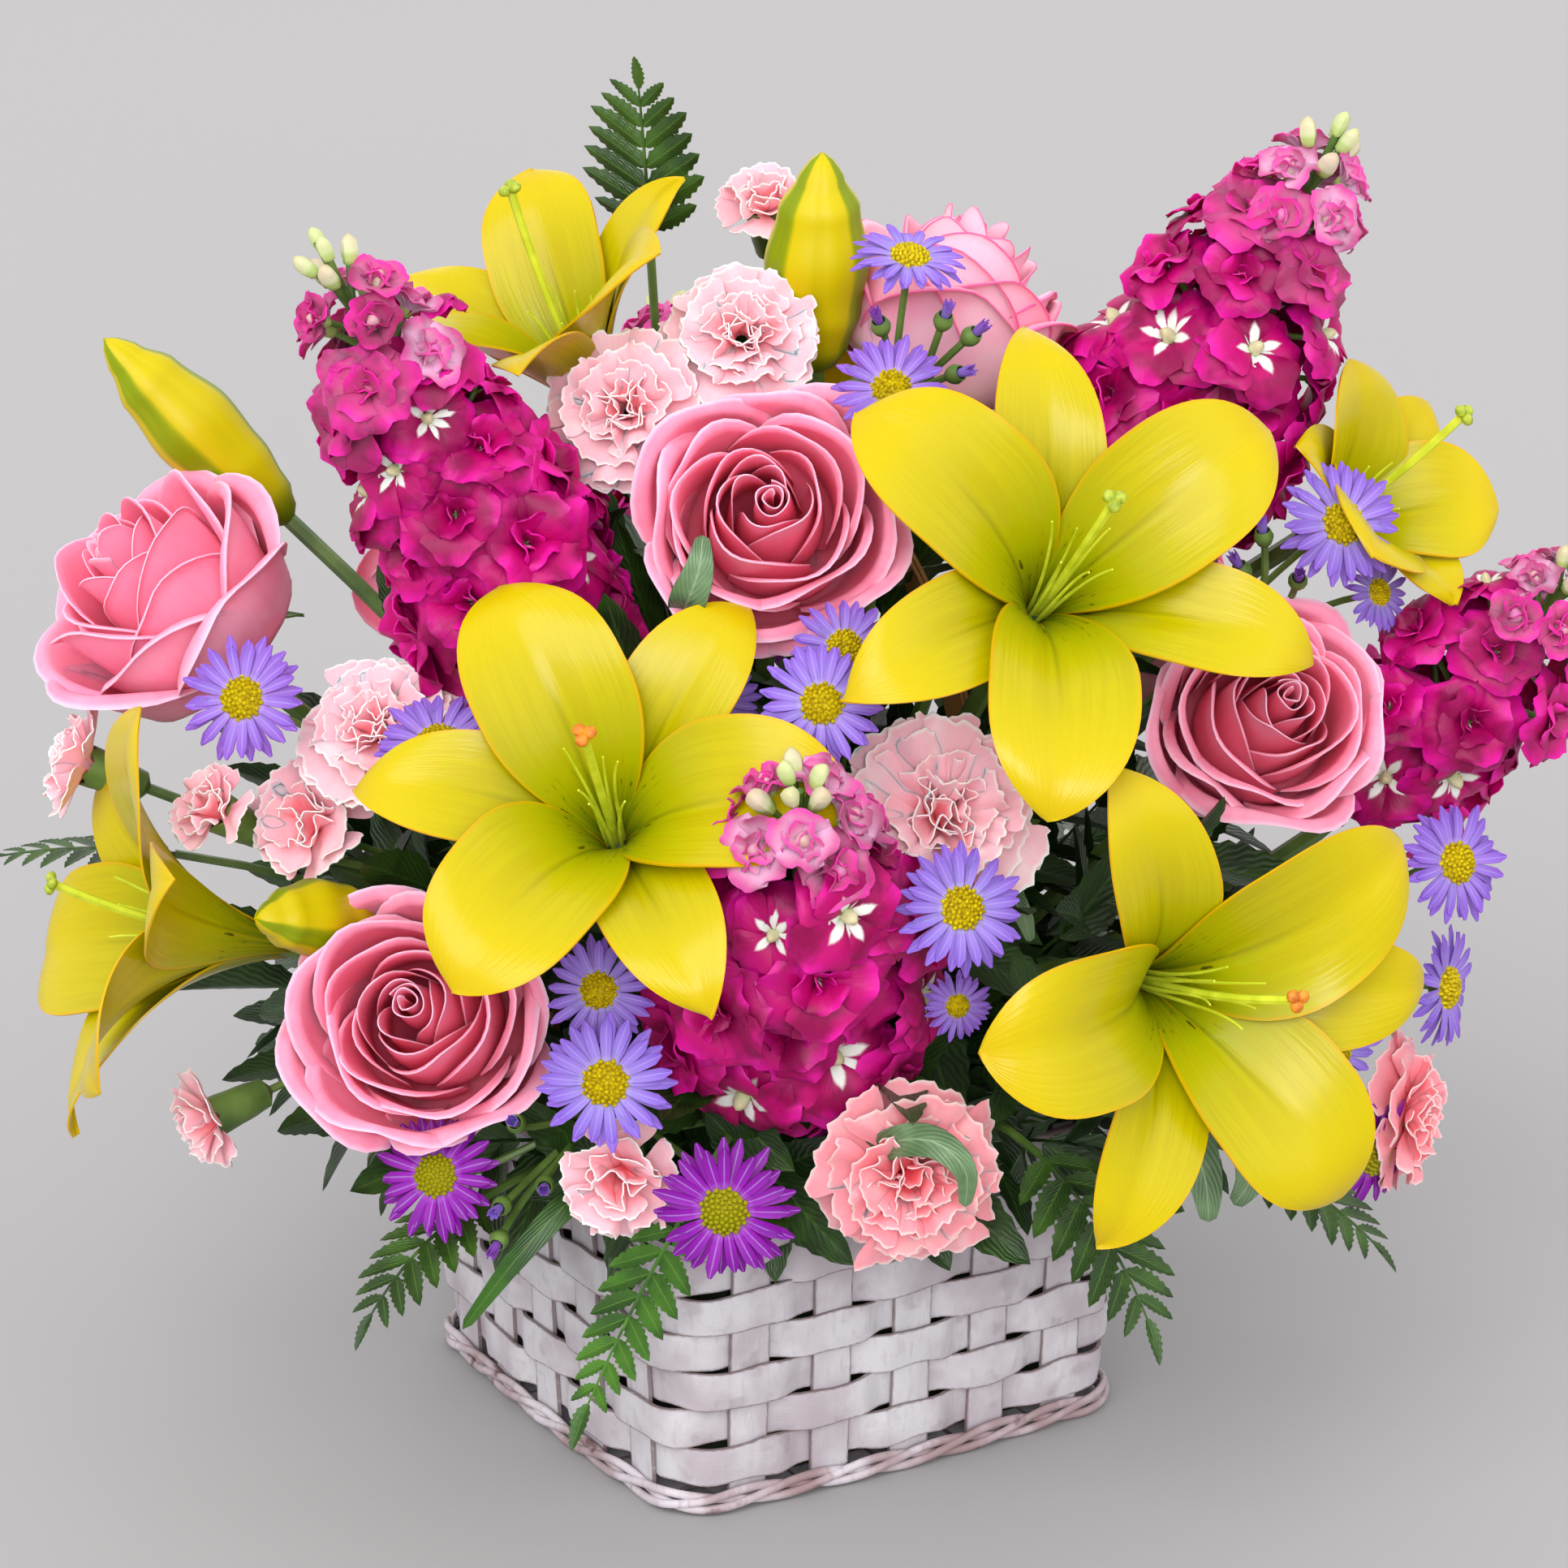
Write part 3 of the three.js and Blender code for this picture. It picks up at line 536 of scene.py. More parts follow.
finished([handle_strip(0.75, 7.0), handle_strip(-0.7, 6.5)], "bent_handle", "bare_chip", "handle")

# Liner: a thin moulded plastic tub, dark green, that stands in the basket and holds the water.
liner_plastic = mottled("liner_plastic", 0.4, 60, 3, tint(0.10, 0.14, 0.09), tint(0.17, 0.22, 0.13), 0.35)
liner_plastic.bump(liner_plastic.noise(900, 2), 0.15, 0.0004)
nodes["liner"].data.materials.clear()
nodes["liner"].data.materials.append(liner_plastic.material)

# Foam: one block of soaked floral foam, cut with a knife, so its faces are a little uneven and
# its pores show. The stems are pushed into it.
wet_foam = Finish("wet_foam", 0.75)
pores = wet_foam.node("ShaderNodeTexVoronoi", Scale=900.0,
                      Vector=wet_foam.node("ShaderNodeTexCoord").outputs["Object"]).outputs["Distance"]
wet_foam.colour(wet_foam.blend(
    wet_foam.fade(pores, 0.1, 0.5), tint(0.06, 0.16, 0.07), tint(0.16, 0.34, 0.17)))
wet_foam.bump(pores, 0.6, 0.0008)
FOAM_WIDTH = 0.124
foam_low, foam_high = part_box("foam")
bpy.ops.object.select_all(action="DESELECT")
bpy.ops.mesh.primitive_cube_add(size=1)
foam = bpy.context.object
foam.data.transform(Matrix.Diagonal((FOAM_WIDTH, FOAM_WIDTH, foam_high.z - foam_low.z, 1)))
foam.data.transform(basket_turn @ Matrix.Translation((0, 0, (foam_high.z + foam_low.z) / 2)))
rounding = foam.modifiers.new("rounding", "BEVEL")
rounding.width = 0.005
rounding.segments = 2
bpy.ops.object.modifier_apply(modifier="rounding")
bpy.ops.object.mode_set(mode="EDIT")
bpy.ops.mesh.select_all(action="SELECT")
bpy.ops.mesh.subdivide(number_cuts=12)
bpy.ops.object.mode_set(mode="OBJECT")
for point in foam.data.vertices:
    x, y, z = point.co
    point.co.z -= 0.0008 * (1 + math.sin(90 * x + 4) * math.sin(110 * y)) if z > 0.12 else 0
    point.co.x -= 0.0005 * math.sin(140 * z + 60 * y)
finished([wearing(foam, wet_foam)], "foam_block", "wet_foam", "foam")

# Stems: each plant is one cut stem, pushed into the foam and leaning the way it is to reach. A
# spray forks into twigs. Here are the places and facings of all the blooms, in mm and degrees:
# azimuth 0 faces the front and 90 the right, and height is above level.
LILIES = {
    "lily_front_left": dict(at=(-46, -116, 226), faces=(-6, 40), roll=119),
    "lily_top_left": dict(at=(-52, -14, 331), faces=(-55, 62), roll=20, opening=66, length=88,
                          slim=0.8, style=0.98),
    "lily_centre": dict(at=(79, -84, 288), faces=(14, 34), roll=30, length=104,
                        turns=(0, 0, -12, -6, -14, 6), slim=0.96),
    "lily_front_right": dict(at=(110, -114, 184), faces=(26, 8), roll=61, length=104,
                             turns=(-30, -12, 0, 0, 0, -6)),
    "lily_left": dict(at=(-152, -80, 181), faces=(-75, 14), roll=90, opening=85),
    "lily_right": dict(at=(172, 5, 290), faces=(50, 35), roll=90, opening=70, length=62,
                       slim=0.88, style=1.12),
    "lily_back": dict(at=(20, 110, 240), faces=(176, 34), roll=90),
}
BUDS = {
    "lily_bud_left": dict(at=(-155, 25, 288), faces=(-90, 45), length=84),
    "lily_bud_top": dict(at=(14, -12, 347), faces=(-6, 80), length=72, width=32),
    "lily_bud_front": dict(at=(-121, -84, 192), faces=(-47, 12), length=50, width=24),
    "lily_bud_green": dict(at=(70, -24, 312), faces=(40, 68), length=42, width=17),
}
ROSES = {
    "rose_left": dict(at=(-174, -6, 254), faces=(-60, 45), radius=46),
    "rose_centre": dict(at=(-2, -61, 307), faces=(0, 28), radius=43),
    "rose_right": dict(at=(150, -28, 233), faces=(10, 30), radius=41),
    "rose_front_left": dict(at=(-103, -91, 157), faces=(-8, 28)),
    "rose_top": dict(at=(44, 2, 338), faces=(110, 66), radius=43),
    "rose_back_left": dict(at=(-85, 90, 236), faces=(-140, 35)),
    "rose_back_right": dict(at=(110, 75, 225), faces=(135, 25)),
}
STOCKS = {
    "stock_left": dict(at=(-56, -50, 239), faces=(-60, 62), length=195),
    "stock_right_tall": dict(at=(105, 8, 280), faces=(80, 63), length=162, radius=40),
    "stock_right": dict(at=(192, 0, 205), faces=(60, 50), length=110, radius=34),
    "stock_front": dict(at=(6, -94, 148), faces=(2, 56), length=142, radius=43),
    "stock_back": dict(at=(-25, 74, 248), faces=(-170, 55), length=100),
}
CARNATIONS = {
    "carnation_spray_top": [((-9, -22, 353), (0, 32), 24), ((-39, -32, 334), (-15, 28), 25),
                            ((0, 30, 374), (-10, 60), 14)],
    "carnation_spray_right": [((46, -96, 225), (15, 28), 31)],
    "carnation_spray_left": [((-115, -67, 236), (-20, 45), 25), ((-157, -69, 213), (-50, 35), 14),
                             ((-133, -60, 209), (-25, 30), 18)],
    "carnation_spray_far_left": [((-196, -35, 217), (-80, 25), 17)],
    "carnation_spray_low_left": [((-121, -58, 143), (-25, 0), 25), ((-157, -72, 130), (-60, -15), 15)],
    "carnation_spray_low_front": [((-43, -122, 131), (-5, 0), 18), ((38, -118, 129), (10, 0), 28)],
    "carnation_spray_low_right": [((185, -25, 106), (70, 0), 24)],
    "carnation_spray_back": [((60, 100, 165), (150, 10), 25), ((-50, 108, 170), (-165, 10), 25),
                             ((-110, 60, 190), (-115, 15), 22)],
}
ASTERS = {
    "aster_spray_top": [((41, -58, 388), (20, 70), 18), ((36, -81, 356), (0, 35), 18)],
    "aster_spray_right": [((175, -36, 303), (15, 25), 20), ((188, -21, 277), (40, 20), 13)],
    "aster_spray_centre": [((21, -115, 287), (10, 30), 16), ((15, -135, 276), (0, 25), 19),
                           ((-18, -105, 268), (10, 20), 15)],
    "aster_spray_left": [((-158, -86, 262), (-15, 25), 20), ((-98, -115, 254), (-10, 50), 20)],
    "aster_spray_front_right": [((54, -146, 217), (20, 20), 20), ((55, -130, 181), (15, 10), 11)],
    "aster_spray_front_left": [((-50, -140, 189), (-10, 20), 17), ((-48, -155, 167), (-5, 10), 21),
                               ((-13, -160, 129), (-5, 5), 22), ((-99, -131, 125), (-20, 25), 20)],
    "aster_spray_low_right": [((212, -41, 194), (35, 20), 20), ((210, -33, 150), (60, 5), 20),
                              ((174, -66, 142), (30, 5), 17), ((189, -42, 98), (50, -10), 20)],
    "aster_spray_back": [((15, 130, 195), (180, 15), 20), ((-20, 122, 215), (-172, 25), 20),
                         ((75, 108, 200), (160, 20), 20)],
}
FERNS = {
    "fern_top": dict(at=(-38, 5, 385), faces=(-20, 84), length=56, width=44, droop=8),
    "fern_hanging": dict(at=(-27, -146, 118), faces=(-75, -60), roll=80, length=72, width=34, droop=12),
    "fern_low_left": dict(at=(-88, -116, 112), faces=(-45, -10), length=60, width=40, droop=40),
    "fern_low_right": dict(at=(82, -110, 124), faces=(40, -20), length=72, width=50, droop=40),
    "fern_right": dict(at=(145, -78, 112), faces=(60, -10), length=60, width=44, droop=30),
    "fern_left": dict(at=(-190, -20, 190), faces=(-80, 12), length=62, width=36, droop=20),
    "fern_back_left": dict(at=(-85, 95, 150), faces=(-140, 10), length=80, width=60, droop=50),
    "fern_back_right": dict(at=(90, 95, 150), faces=(140, 10), length=80, width=60, droop=50),
}
# Some stems bend aside on their way up, round the blooms before them.
SWAYS = {
    "lily_left": (9, -15, 0), "lily_bud_front": (6, -10, -8), "rose_front_left": (3, -3, -9),
    "rose_back_right": (-13, 21, 0), "stock_left": (18, -30, 0), "carnation_spray_top": (0, 22, 0),
    "carnation_spray_left": (12, -20, 0), "carnation_spray_low_left": (-3, 5, 0),
}
# The stems part from each other on a shallow dome at the top of the foam.
DOME_Z, DOME_RADIUS, DOME_RISE = 112, 56, 26
STEM_PITCH = 11.5
STEM_FOCUS_Z = 10
UP = Vector((0, 0, 1))


def way_to(azimuth, height):
    """The direction of an azimuth and a height above level, in degrees."""
    turn, rise = math.radians(azimuth), math.radians(height)
    return Vector((math.sin(turn) * math.cos(rise), -math.cos(turn) * math.cos(rise), math.sin(rise)))


def facing(at, faces, roll=0):
    """A bloom is made with its foot at the origin, opening upwards. This puts it in its place."""
    azimuth, out = math.radians(faces[0]), way_to(*faces)
    right = Vector((math.cos(azimuth), math.sin(azimuth), 0))
    turned = Matrix((right, out.cross(right), out)).transposed().to_4x4()
    return Matrix.Translation(MM * Vector(at)) @ turned @ spun(roll)


stem_middles = {}
for group in (LILIES, BUDS, ROSES, STOCKS, CARNATIONS, ASTERS, FERNS):
    for name, plant in group.items():
        heads = [plant["at"]] if isinstance(plant, dict) else [head[0] for head in plant]
        stem_middles[name] = sum((Vector(head) for head in heads), Vector()) / len(heads)

# Each pair of stems that is too close is pushed apart, a little at a time.
spots = []
for middle in stem_middles.values():
    way = middle - DOME_Z * UP
    way.z = max(way.z, 0)
    way.normalize()
    spots.append(Vector((way.x, way.y)) * DOME_RADIUS)
for _ in range(200):
    for i, spot in enumerate(spots):
        for other in spots[i + 1:]:
            apart = other - spot
            short = STEM_PITCH - apart.length
            if short > 0:
                push = apart.normalized() * short * 0.3
                spot -= push
                other += push
    for spot in spots:
        if spot.length > DOME_RADIUS:
            spot *= DOME_RADIUS / spot.length
stem_entries = {}
for name, spot in zip(stem_middles, spots):
    rise = DOME_RISE * math.sqrt(max(0, 1 - (spot.length / DOME_RADIUS) ** 2))
    stem_entries[name] = Vector((spot.x, spot.y, DOME_Z + rise))


def stalk(start, leaving, end, arriving, radius, finish, taper=1.0):
    """A round stalk along one bend, in mm, from its start to its end, which it meets in given ways."""
    bpy.ops.object.select_all(action="DESELECT")
    bpy.ops.curve.primitive_bezier_curve_add()
    made = bpy.context.object
    made.data.dimensions = "3D"
    first, last = made.data.splines[0].bezier_points
    for knot in (first, last):
        knot.handle_left_type = knot.handle_right_type = "FREE"
    first.co = start * MM
    first.handle_right = (start + leaving) * MM
    first.handle_left = (start - leaving) * MM
    last.co = end * MM
    last.handle_left = (end - arriving) * MM
    last.handle_right = (end + arriving) * MM
    last.radius = taper
    made.data.resolution_u = 10
    made.data.bevel_depth = radius * MM
    made.data.bevel_resolution = 1
    made.data.use_fill_caps = True
    bpy.ops.object.convert(target="MESH")
    return wearing(bpy.context.object, finish)


green_stem = mottled("green_stem", 0.45, 70, 3, tint(0.24, 0.36, 0.12), tint(0.42, 0.54, 0.24))
green_stem.bump(green_stem.noise(600, 2, (1, 1, 0.15)), 0.2, 0.0004)


def stems_of(name, heads, radius):
    """The stem of a plant, and a spray's twigs, up to the foot of each bloom: (at, faces) pairs."""
    focus = STEM_FOCUS_Z * UP
    entry = stem_entries[name]
    sway = Vector(SWAYS.get(name, (0, 0, 0)))
    foot = focus.lerp(entry, 0.58)

    def bend(start, leaving, end, arriving, swayed, thickness):
        reach = 0.4 * (end - start).length
        return stalk(start, leaving * reach + swayed, end, arriving * reach - swayed, thickness, green_stem)
    ends = [(Vector(at) + way_to(*faces), way_to(*faces)) for at, faces in heads]
    upwards = (entry - focus).normalized()
    if len(heads) == 1:
        return [bend(foot, upwards, *ends[0], sway, radius)]
    middle = sum((Vector(at) for at, _ in heads), Vector()) / len(heads)
    fork = entry.lerp(middle, 0.5) + 8 * UP + sway
    onwards = (middle - entry).normalized()
    made = [bend(foot, upwards, fork, onwards, sway, radius)]
    return made + [bend(fork, onwards, end, out, Vector(), 0.7 * radius) for end, out in ends]


def planted(parts, name, plant, roll, stem_radius, kind, slot):
    """Puts a bloom or a frond in its place, on its stem, as one piece."""
    for part in parts:
        part.data.transform(facing(plant["at"], plant["faces"], roll))
    stem = stems_of(name, [(plant["at"], plant["faces"])], stem_radius)
    finished(parts + stem, f"{name}_{kind}", slot, name)


def copied(model, matrix, tone=None):
    """A copy of a model with a mesh of its own; its finish reads tone to differ from its neighbours'."""
    made = model.copy()
    made.data = model.data.copy()
    made.data.transform(matrix)
    bpy.context.collection.objects.link(made)
    if tone is not None:
        layer = made.data.attributes.get("tone") or made.data.attributes.new("tone", "FLOAT", "POINT")
        layer.data.foreach_set("value", [tone] * len(made.data.vertices))
    return made


def put_away(*models):
    for model in models:
        bpy.data.objects.remove(model)


# Lilies: six waxy yellow petals in two rings, the outer three narrower, with an olive throat,
# six pale filaments whose anthers were picked off, and a long style with a three-lobed end.
lily_skin = Finish("lily_skin", 0.25)
lily_skin.petal(0.5, 0.0006, 0.25)
from_rib, along_petal = lily_skin.from_rib(), lily_skin.along()[1]
veins = lily_skin.effect(long_lines, Lines_across=26.0, Lines_along=3.2)["Height"]
base = lily_skin.ramp(along_petal, (0.0, tint(0.16, 0.22, 0.02)), (0.08, tint(0.38, 0.46, 0.02)),
                      (0.24, tint(0.62, 0.64, 0.0)), (0.46, tint(0.74, 0.69, 0.0)),
                      (0.75, tint(0.79, 0.71, 0.0)), (1.0, tint(0.80, 0.68, 0.0)))
ochre = lily_skin.times(lily_skin.fade(veins, 0.40, 0.62), lily_skin.fade(along_petal, 0.75, 0.35))
base = lily_skin.blend(lily_skin.times(ochre, 0.45), base, tint(0.68, 0.62, 0.0))
base = lily_skin.blend(lily_skin.fade(from_rib, 0.93, 1.0, 0.0, 0.5), base, tint(0.86, 0.62, 0.01))
groove = lily_skin.times(lily_skin.fade(from_rib, 0.07, 0.0), lily_skin.fade(along_petal, 0.62, 0.15))
base = lily_skin.blend(lily_skin.times(groove, 0.6), base, tint(0.46, 0.46, 0.03))
flecks = lily_skin.effect(long_lines, Lines_across=19.0, Lines_along=17.0)["Height"]
throat = lily_skin.times(lily_skin.fade(along_petal, 0.28, 0.20), lily_skin.fade(along_petal, 0.08, 0.13))
dashes = lily_skin.times(lily_skin.fade(flecks, 0.62, 0.68, 0.0, 0.8), throat)
lily_skin.colour(lily_skin.blend(dashes, base, tint(0.20, 0.15, 0.03)))
lily_skin.bump(veins, 0.25, 0.0007)

pale_filament = mottled("pale_filament", 0.4, 120, 2, tint(0.70, 0.76, 0.10), tint(0.86, 0.90, 0.24))
orange_stigma = mottled("orange_stigma", 0.5, 500, 2, tint(0.72, 0.36, 0.05), tint(0.93, 0.58, 0.10))
green_stigma = mottled("green_stigma", 0.45, 500, 2, tint(0.52, 0.60, 0.08), tint(0.74, 0.78, 0.22))
PETAL_STEPS = 60
WIDEST = 0.56


def lily_petal(length, opening, width, closed, behind, wave, slim):
    """One petal from the foot out, bent along a line that leans more and more outwards."""
    start = math.radians(12)
    sweep = math.radians(opening - closed) - start
    line = [(3.0, -behind)]
    leans = []
    for k in range(PETAL_STEPS + 1):
        share = k / PETAL_STEPS
        lean = start + sweep * share + math.radians(48) * max(0, (share - 0.70) / 0.30) ** 2
        leans.append(lean)
        r, h = line[-1]
        step = length / PETAL_STEPS
        line.append((r + step * math.sin(lean), h + step * math.cos(lean)))

    def shape(u, v):
        v = 1 - (1 - v) ** 1.35
        place = v * PETAL_STEPS
        i = min(int(place), PETAL_STEPS - 1)
        r = line[i][0] + (line[i + 1][0] - line[i][0]) * (place - i)
        h = line[i][1] + (line[i + 1][1] - line[i][1]) * (place - i)
        lean = leans[i]
        broad = width > 40
        blunt = 1.62 + 0.2 * math.sin(5 * wave) if broad else 1.35
        if v < WIDEST:
            wide = 0.13 + 0.87 * math.sin(math.pi / 2 * v / WIDEST) ** 1.6
        else:
            narrowing = ((v - WIDEST) / (1 - WIDEST)) ** blunt
            wide = max(0, math.cos(math.pi / 2 * narrowing)) ** (0.80 if broad else 0.95)
        half = width / 2 * wide * slim
        channel = abs(u) * 0.5 * (1 - v) ** 1.4
        curl = 0.16 * u * u - 0.20 * abs(u) ** 3 * eased((v - 0.45) / 0.5)
        ripple = 0.045 * wave * math.sin(7.5 * v + 2.2 * wave) * abs(u) ** 2.2 * math.copysign(1, u + 0.01)
        dimple = -0.05 * math.exp(-(u / 0.16) ** 2) * (1 - 0.7 * v)
        lift = half * (channel + curl + dimple) + width * ripple
        spread = half * u * (1 - 0.12 * u * u * (1 - v))
        return (r - lift * math.cos(lean), spread, h + lift * math.sin(lean))
    return wearing(sheet(12, 30, shape, 0.7), lily_skin)


def lily_heart(length, side, style):
    """The style and its three lobes, and the six filaments round it."""
    parts = []
    stigma = orange_stigma if side[2] else green_stigma
    tip = Vector((side[0], side[1], length * style))
    bent = Vector((side[0] * 0.5, side[1] * 0.5, 0))
    parts.append(stalk(5 * UP, 30 * UP, tip, bent + 18 * UP, 1.25, pale_filament, taper=1.15))
    for k in range(3):
        angle = math.radians(120 * k + 20)
        lobe = round_body(10, 8, lambda u, v: (2.1 * math.sin(v * math.pi), 1.6 * math.cos(v * math.pi)))
        apart = Vector((1.9 * math.cos(angle), 1.9 * math.sin(angle), 0))
        lobe.data.transform(Matrix.Translation((tip + apart) * MM))
        parts.append(wearing(lobe, stigma))
    for k in range(6):
        angle = math.radians(60 * k + 25)
        out = Vector((math.cos(angle), math.sin(angle), 0))
        reach = 9 + 3 * math.sin(2.3 * k + length)
        top = out * reach + bent + length * (0.50 + 0.05 * math.cos(3 * k)) * UP
        parts.append(stalk(out * 2.5 + 4 * UP, out + 20 * UP, top, out * 4 + 12 * UP, 0.75, pale_filament,
                           taper=0.45))
    return parts


# Which way each style leans, in mm, and whether its stigma is ripe and orange.
STYLE_SIDES = {
    "lily_front_left": (-2, 6, 1), "lily_centre": (6, 10, 0), "lily_front_right": (10, 6, 1),
    "lily_left": (2, 10, 0), "lily_right": (5, 8, 0), "lily_top_left": (3, 6, 0), "lily_back": (4, -5, 1),
}
INNER_PETAL, OUTER_PETAL = (50, 6, 0), (37, 0, 4)
PETAL_WAVES = (0.9, -0.8, 0.5, -1.0, 0.8, -0.5)
for name, plant in LILIES.items():
    length, opening = plant.get("length", 98), plant.get("opening", 105)
    parts = []
    for i, wave in enumerate(PETAL_WAVES):
        width, closed, behind = (INNER_PETAL, OUTER_PETAL)[i % 2]
        petal = lily_petal(length, opening, width, closed, behind, wave, plant.get("slim", 1))
        petal.data.transform(spun(60 * i + plant.get("turns", (0,) * 6)[i]))
        parts.append(petal)
    for part in lily_heart(length, STYLE_SIDES[name], plant.get("style", 0.76)):
        part.data.transform(spun(-plant["roll"]))
        parts.append(part)
    planted(parts, name, plant, plant["roll"], 3.2, "flower", "lily_petal")

# Lily buds: closed petals in the shape of a long drop, with a seam down each of three sides,
# yellow with green along the ribs and at the foot.
bud_streaks = Shared("bud_streaks", ("Ripe Colour", "Unripe Colour", "Foot Colour"))
ripe, unripe, foot = bud_streaks.given[:3]
around, up = bud_streaks.along()
rib = bud_streaks.math("COSINE", bud_streaks.times(around, 6 * math.pi))
streak = bud_streaks.effect(long_lines, Lines_across=30.0, Lines_along=4.0)["Height"]
green = bud_streaks.plus(bud_streaks.fade(rib, 0.1, 0.9, 0.0, 0.7), bud_streaks.times(streak, 0.4))
skin = bud_streaks.blend(bud_streaks.fade(green, 0.35, 0.95), ripe, unripe)
bud_streaks.gives(bud_streaks.blend(bud_streaks.fade(up, 0.22, 0.0), skin, foot), streak)


def bud_finish(name, roughness, *colours):
    return skinned(name, roughness, bud_streaks, colours, (0.2, 0.0006), (0.1, 0.002))


bud_skin = bud_finish("bud_skin", 0.38, tint(0.78, 0.71, 0.0), tint(0.50, 0.57, 0.01), tint(0.36, 0.46, 0.04))
green_bud_skin = bud_finish("green_bud_skin", 0.42, tint(0.56, 0.62, 0.15), tint(0.33, 0.44, 0.09),
                            tint(0.27, 0.38, 0.09))


def lily_bud(length, width, finish):
    outline = [(0, 0.12), (0.03, 0.36), (0.12, 0.62), (0.30, 0.86), (0.52, 1), (0.75, 0.78), (0.90, 0.42),
               (0.97, 0.2), (1, 0)]

    def shape(u, v):
        around = u * math.pi
        seam = abs(math.sin(1.5 * around))
        ridge = math.exp(-(math.cos(1.5 * around) / 0.12) ** 2)
        r = width / 2 * between(outline, v) * (0.93 + 0.11 * seam ** 0.5 - 0.05 * ridge)
        bend = 0.05 * length * v * v
        return (r * math.cos(around) + bend, r * math.sin(around), v * length)
    return wearing(sheet(48, 30, shape), finish)


for name, plant in BUDS.items():
    skin = green_bud_skin if name == "lily_bud_green" else bud_skin
    body = lily_bud(plant["length"], plant.get("width", 29), skin)
    planted([body], name, plant, 40, 2.6, "drop", "lily_bud")

# Roses: a tight spiral heart, and round it seven rings of petals that stand more open the
# further out they are, with their rims rolled back. Under them are a green hip and sepals.
# The rose petal's colour: a cream foot and pink above, with painted shade and painted highlight laid over it.
rose_colour_and_painted_light = Shared("rose_colour_and_painted_light", ("Foot Colour", "Fold Colour", "Face Colour", "Rim Colour", "Heart Colour"))
foot, fold, face, rim, heart = rose_colour_and_painted_light.given[:5]
up = rose_colour_and_painted_light.along()[1]
ring = rose_colour_and_painted_light.value_of("tone")
cloud = rose_colour_and_painted_light.noise(55, 3)
veins = rose_colour_and_painted_light.effect(long_lines, Lines_across=22.0, Lines_along=2.4)["Height"]
# Low on the petal the fold colour comes in: on the pink rose a deeper pink, which is painted shade.
blush_and_painted_light = rose_colour_and_painted_light.blend(rose_colour_and_painted_light.fade(up, 0.0, 0.25), foot, fold)
blush_and_painted_light = rose_colour_and_painted_light.blend(rose_colour_and_painted_light.fade(up, 0.25, 0.62), blush_and_painted_light, face)
# A deeper pink on the rings of the heart: painted shade.
inner = rose_colour_and_painted_light.times(rose_colour_and_painted_light.fade(ring, 0.75, 0.05), rose_colour_and_painted_light.fade(up, 0.95, 0.6))
blush_and_painted_light = rose_colour_and_painted_light.blend(inner, blush_and_painted_light, heart)
# Blotches on the outer rings and the rim take the rim colour: on the pink rose a pale pink, painted
# highlight; on the cream rose its own pink edge.
pale = rose_colour_and_painted_light.times(rose_colour_and_painted_light.fade(ring, 0.6, 1.0, 0.0, 0.4), rose_colour_and_painted_light.fade(cloud, 0.3, 0.7))
blush_and_painted_light = rose_colour_and_painted_light.blend(pale, blush_and_painted_light, rim)
blush_and_painted_light = rose_colour_and_painted_light.blend(rose_colour_and_painted_light.fade(up, 0.93, 0.995), blush_and_painted_light, rim)
blush_and_painted_light = rose_colour_and_painted_light.blend(rose_colour_and_painted_light.fade(veins, 0.45, 0.7, 0.0, 0.12), blush_and_painted_light, heart)
rose_colour_and_painted_light.gives(blush_and_painted_light, rose_colour_and_painted_light.plus(veins, rose_colour_and_painted_light.times(cloud, 0.5)))


def rose_finish(name, *colours):
    return skinned(name, 0.5, rose_colour_and_painted_light, colours, (0.22, 0.0006), (0.6, 0.0008, 0.12))


pink_rose = rose_finish("pink_rose_petal", tint(1.0, 0.86, 0.76), tint(1.0, 0.51, 0.61),
                        tint(1.0, 0.57, 0.69), tint(1.0, 0.77, 0.86), tint(1.0, 0.44, 0.57))
cream_rose = rose_finish("cream_rose_petal", tint(1.0, 0.95, 0.80), tint(1.0, 0.84, 0.82),
                         tint(1.0, 0.76, 0.83), tint(0.98, 0.42, 0.64), tint(1.0, 0.58, 0.68))


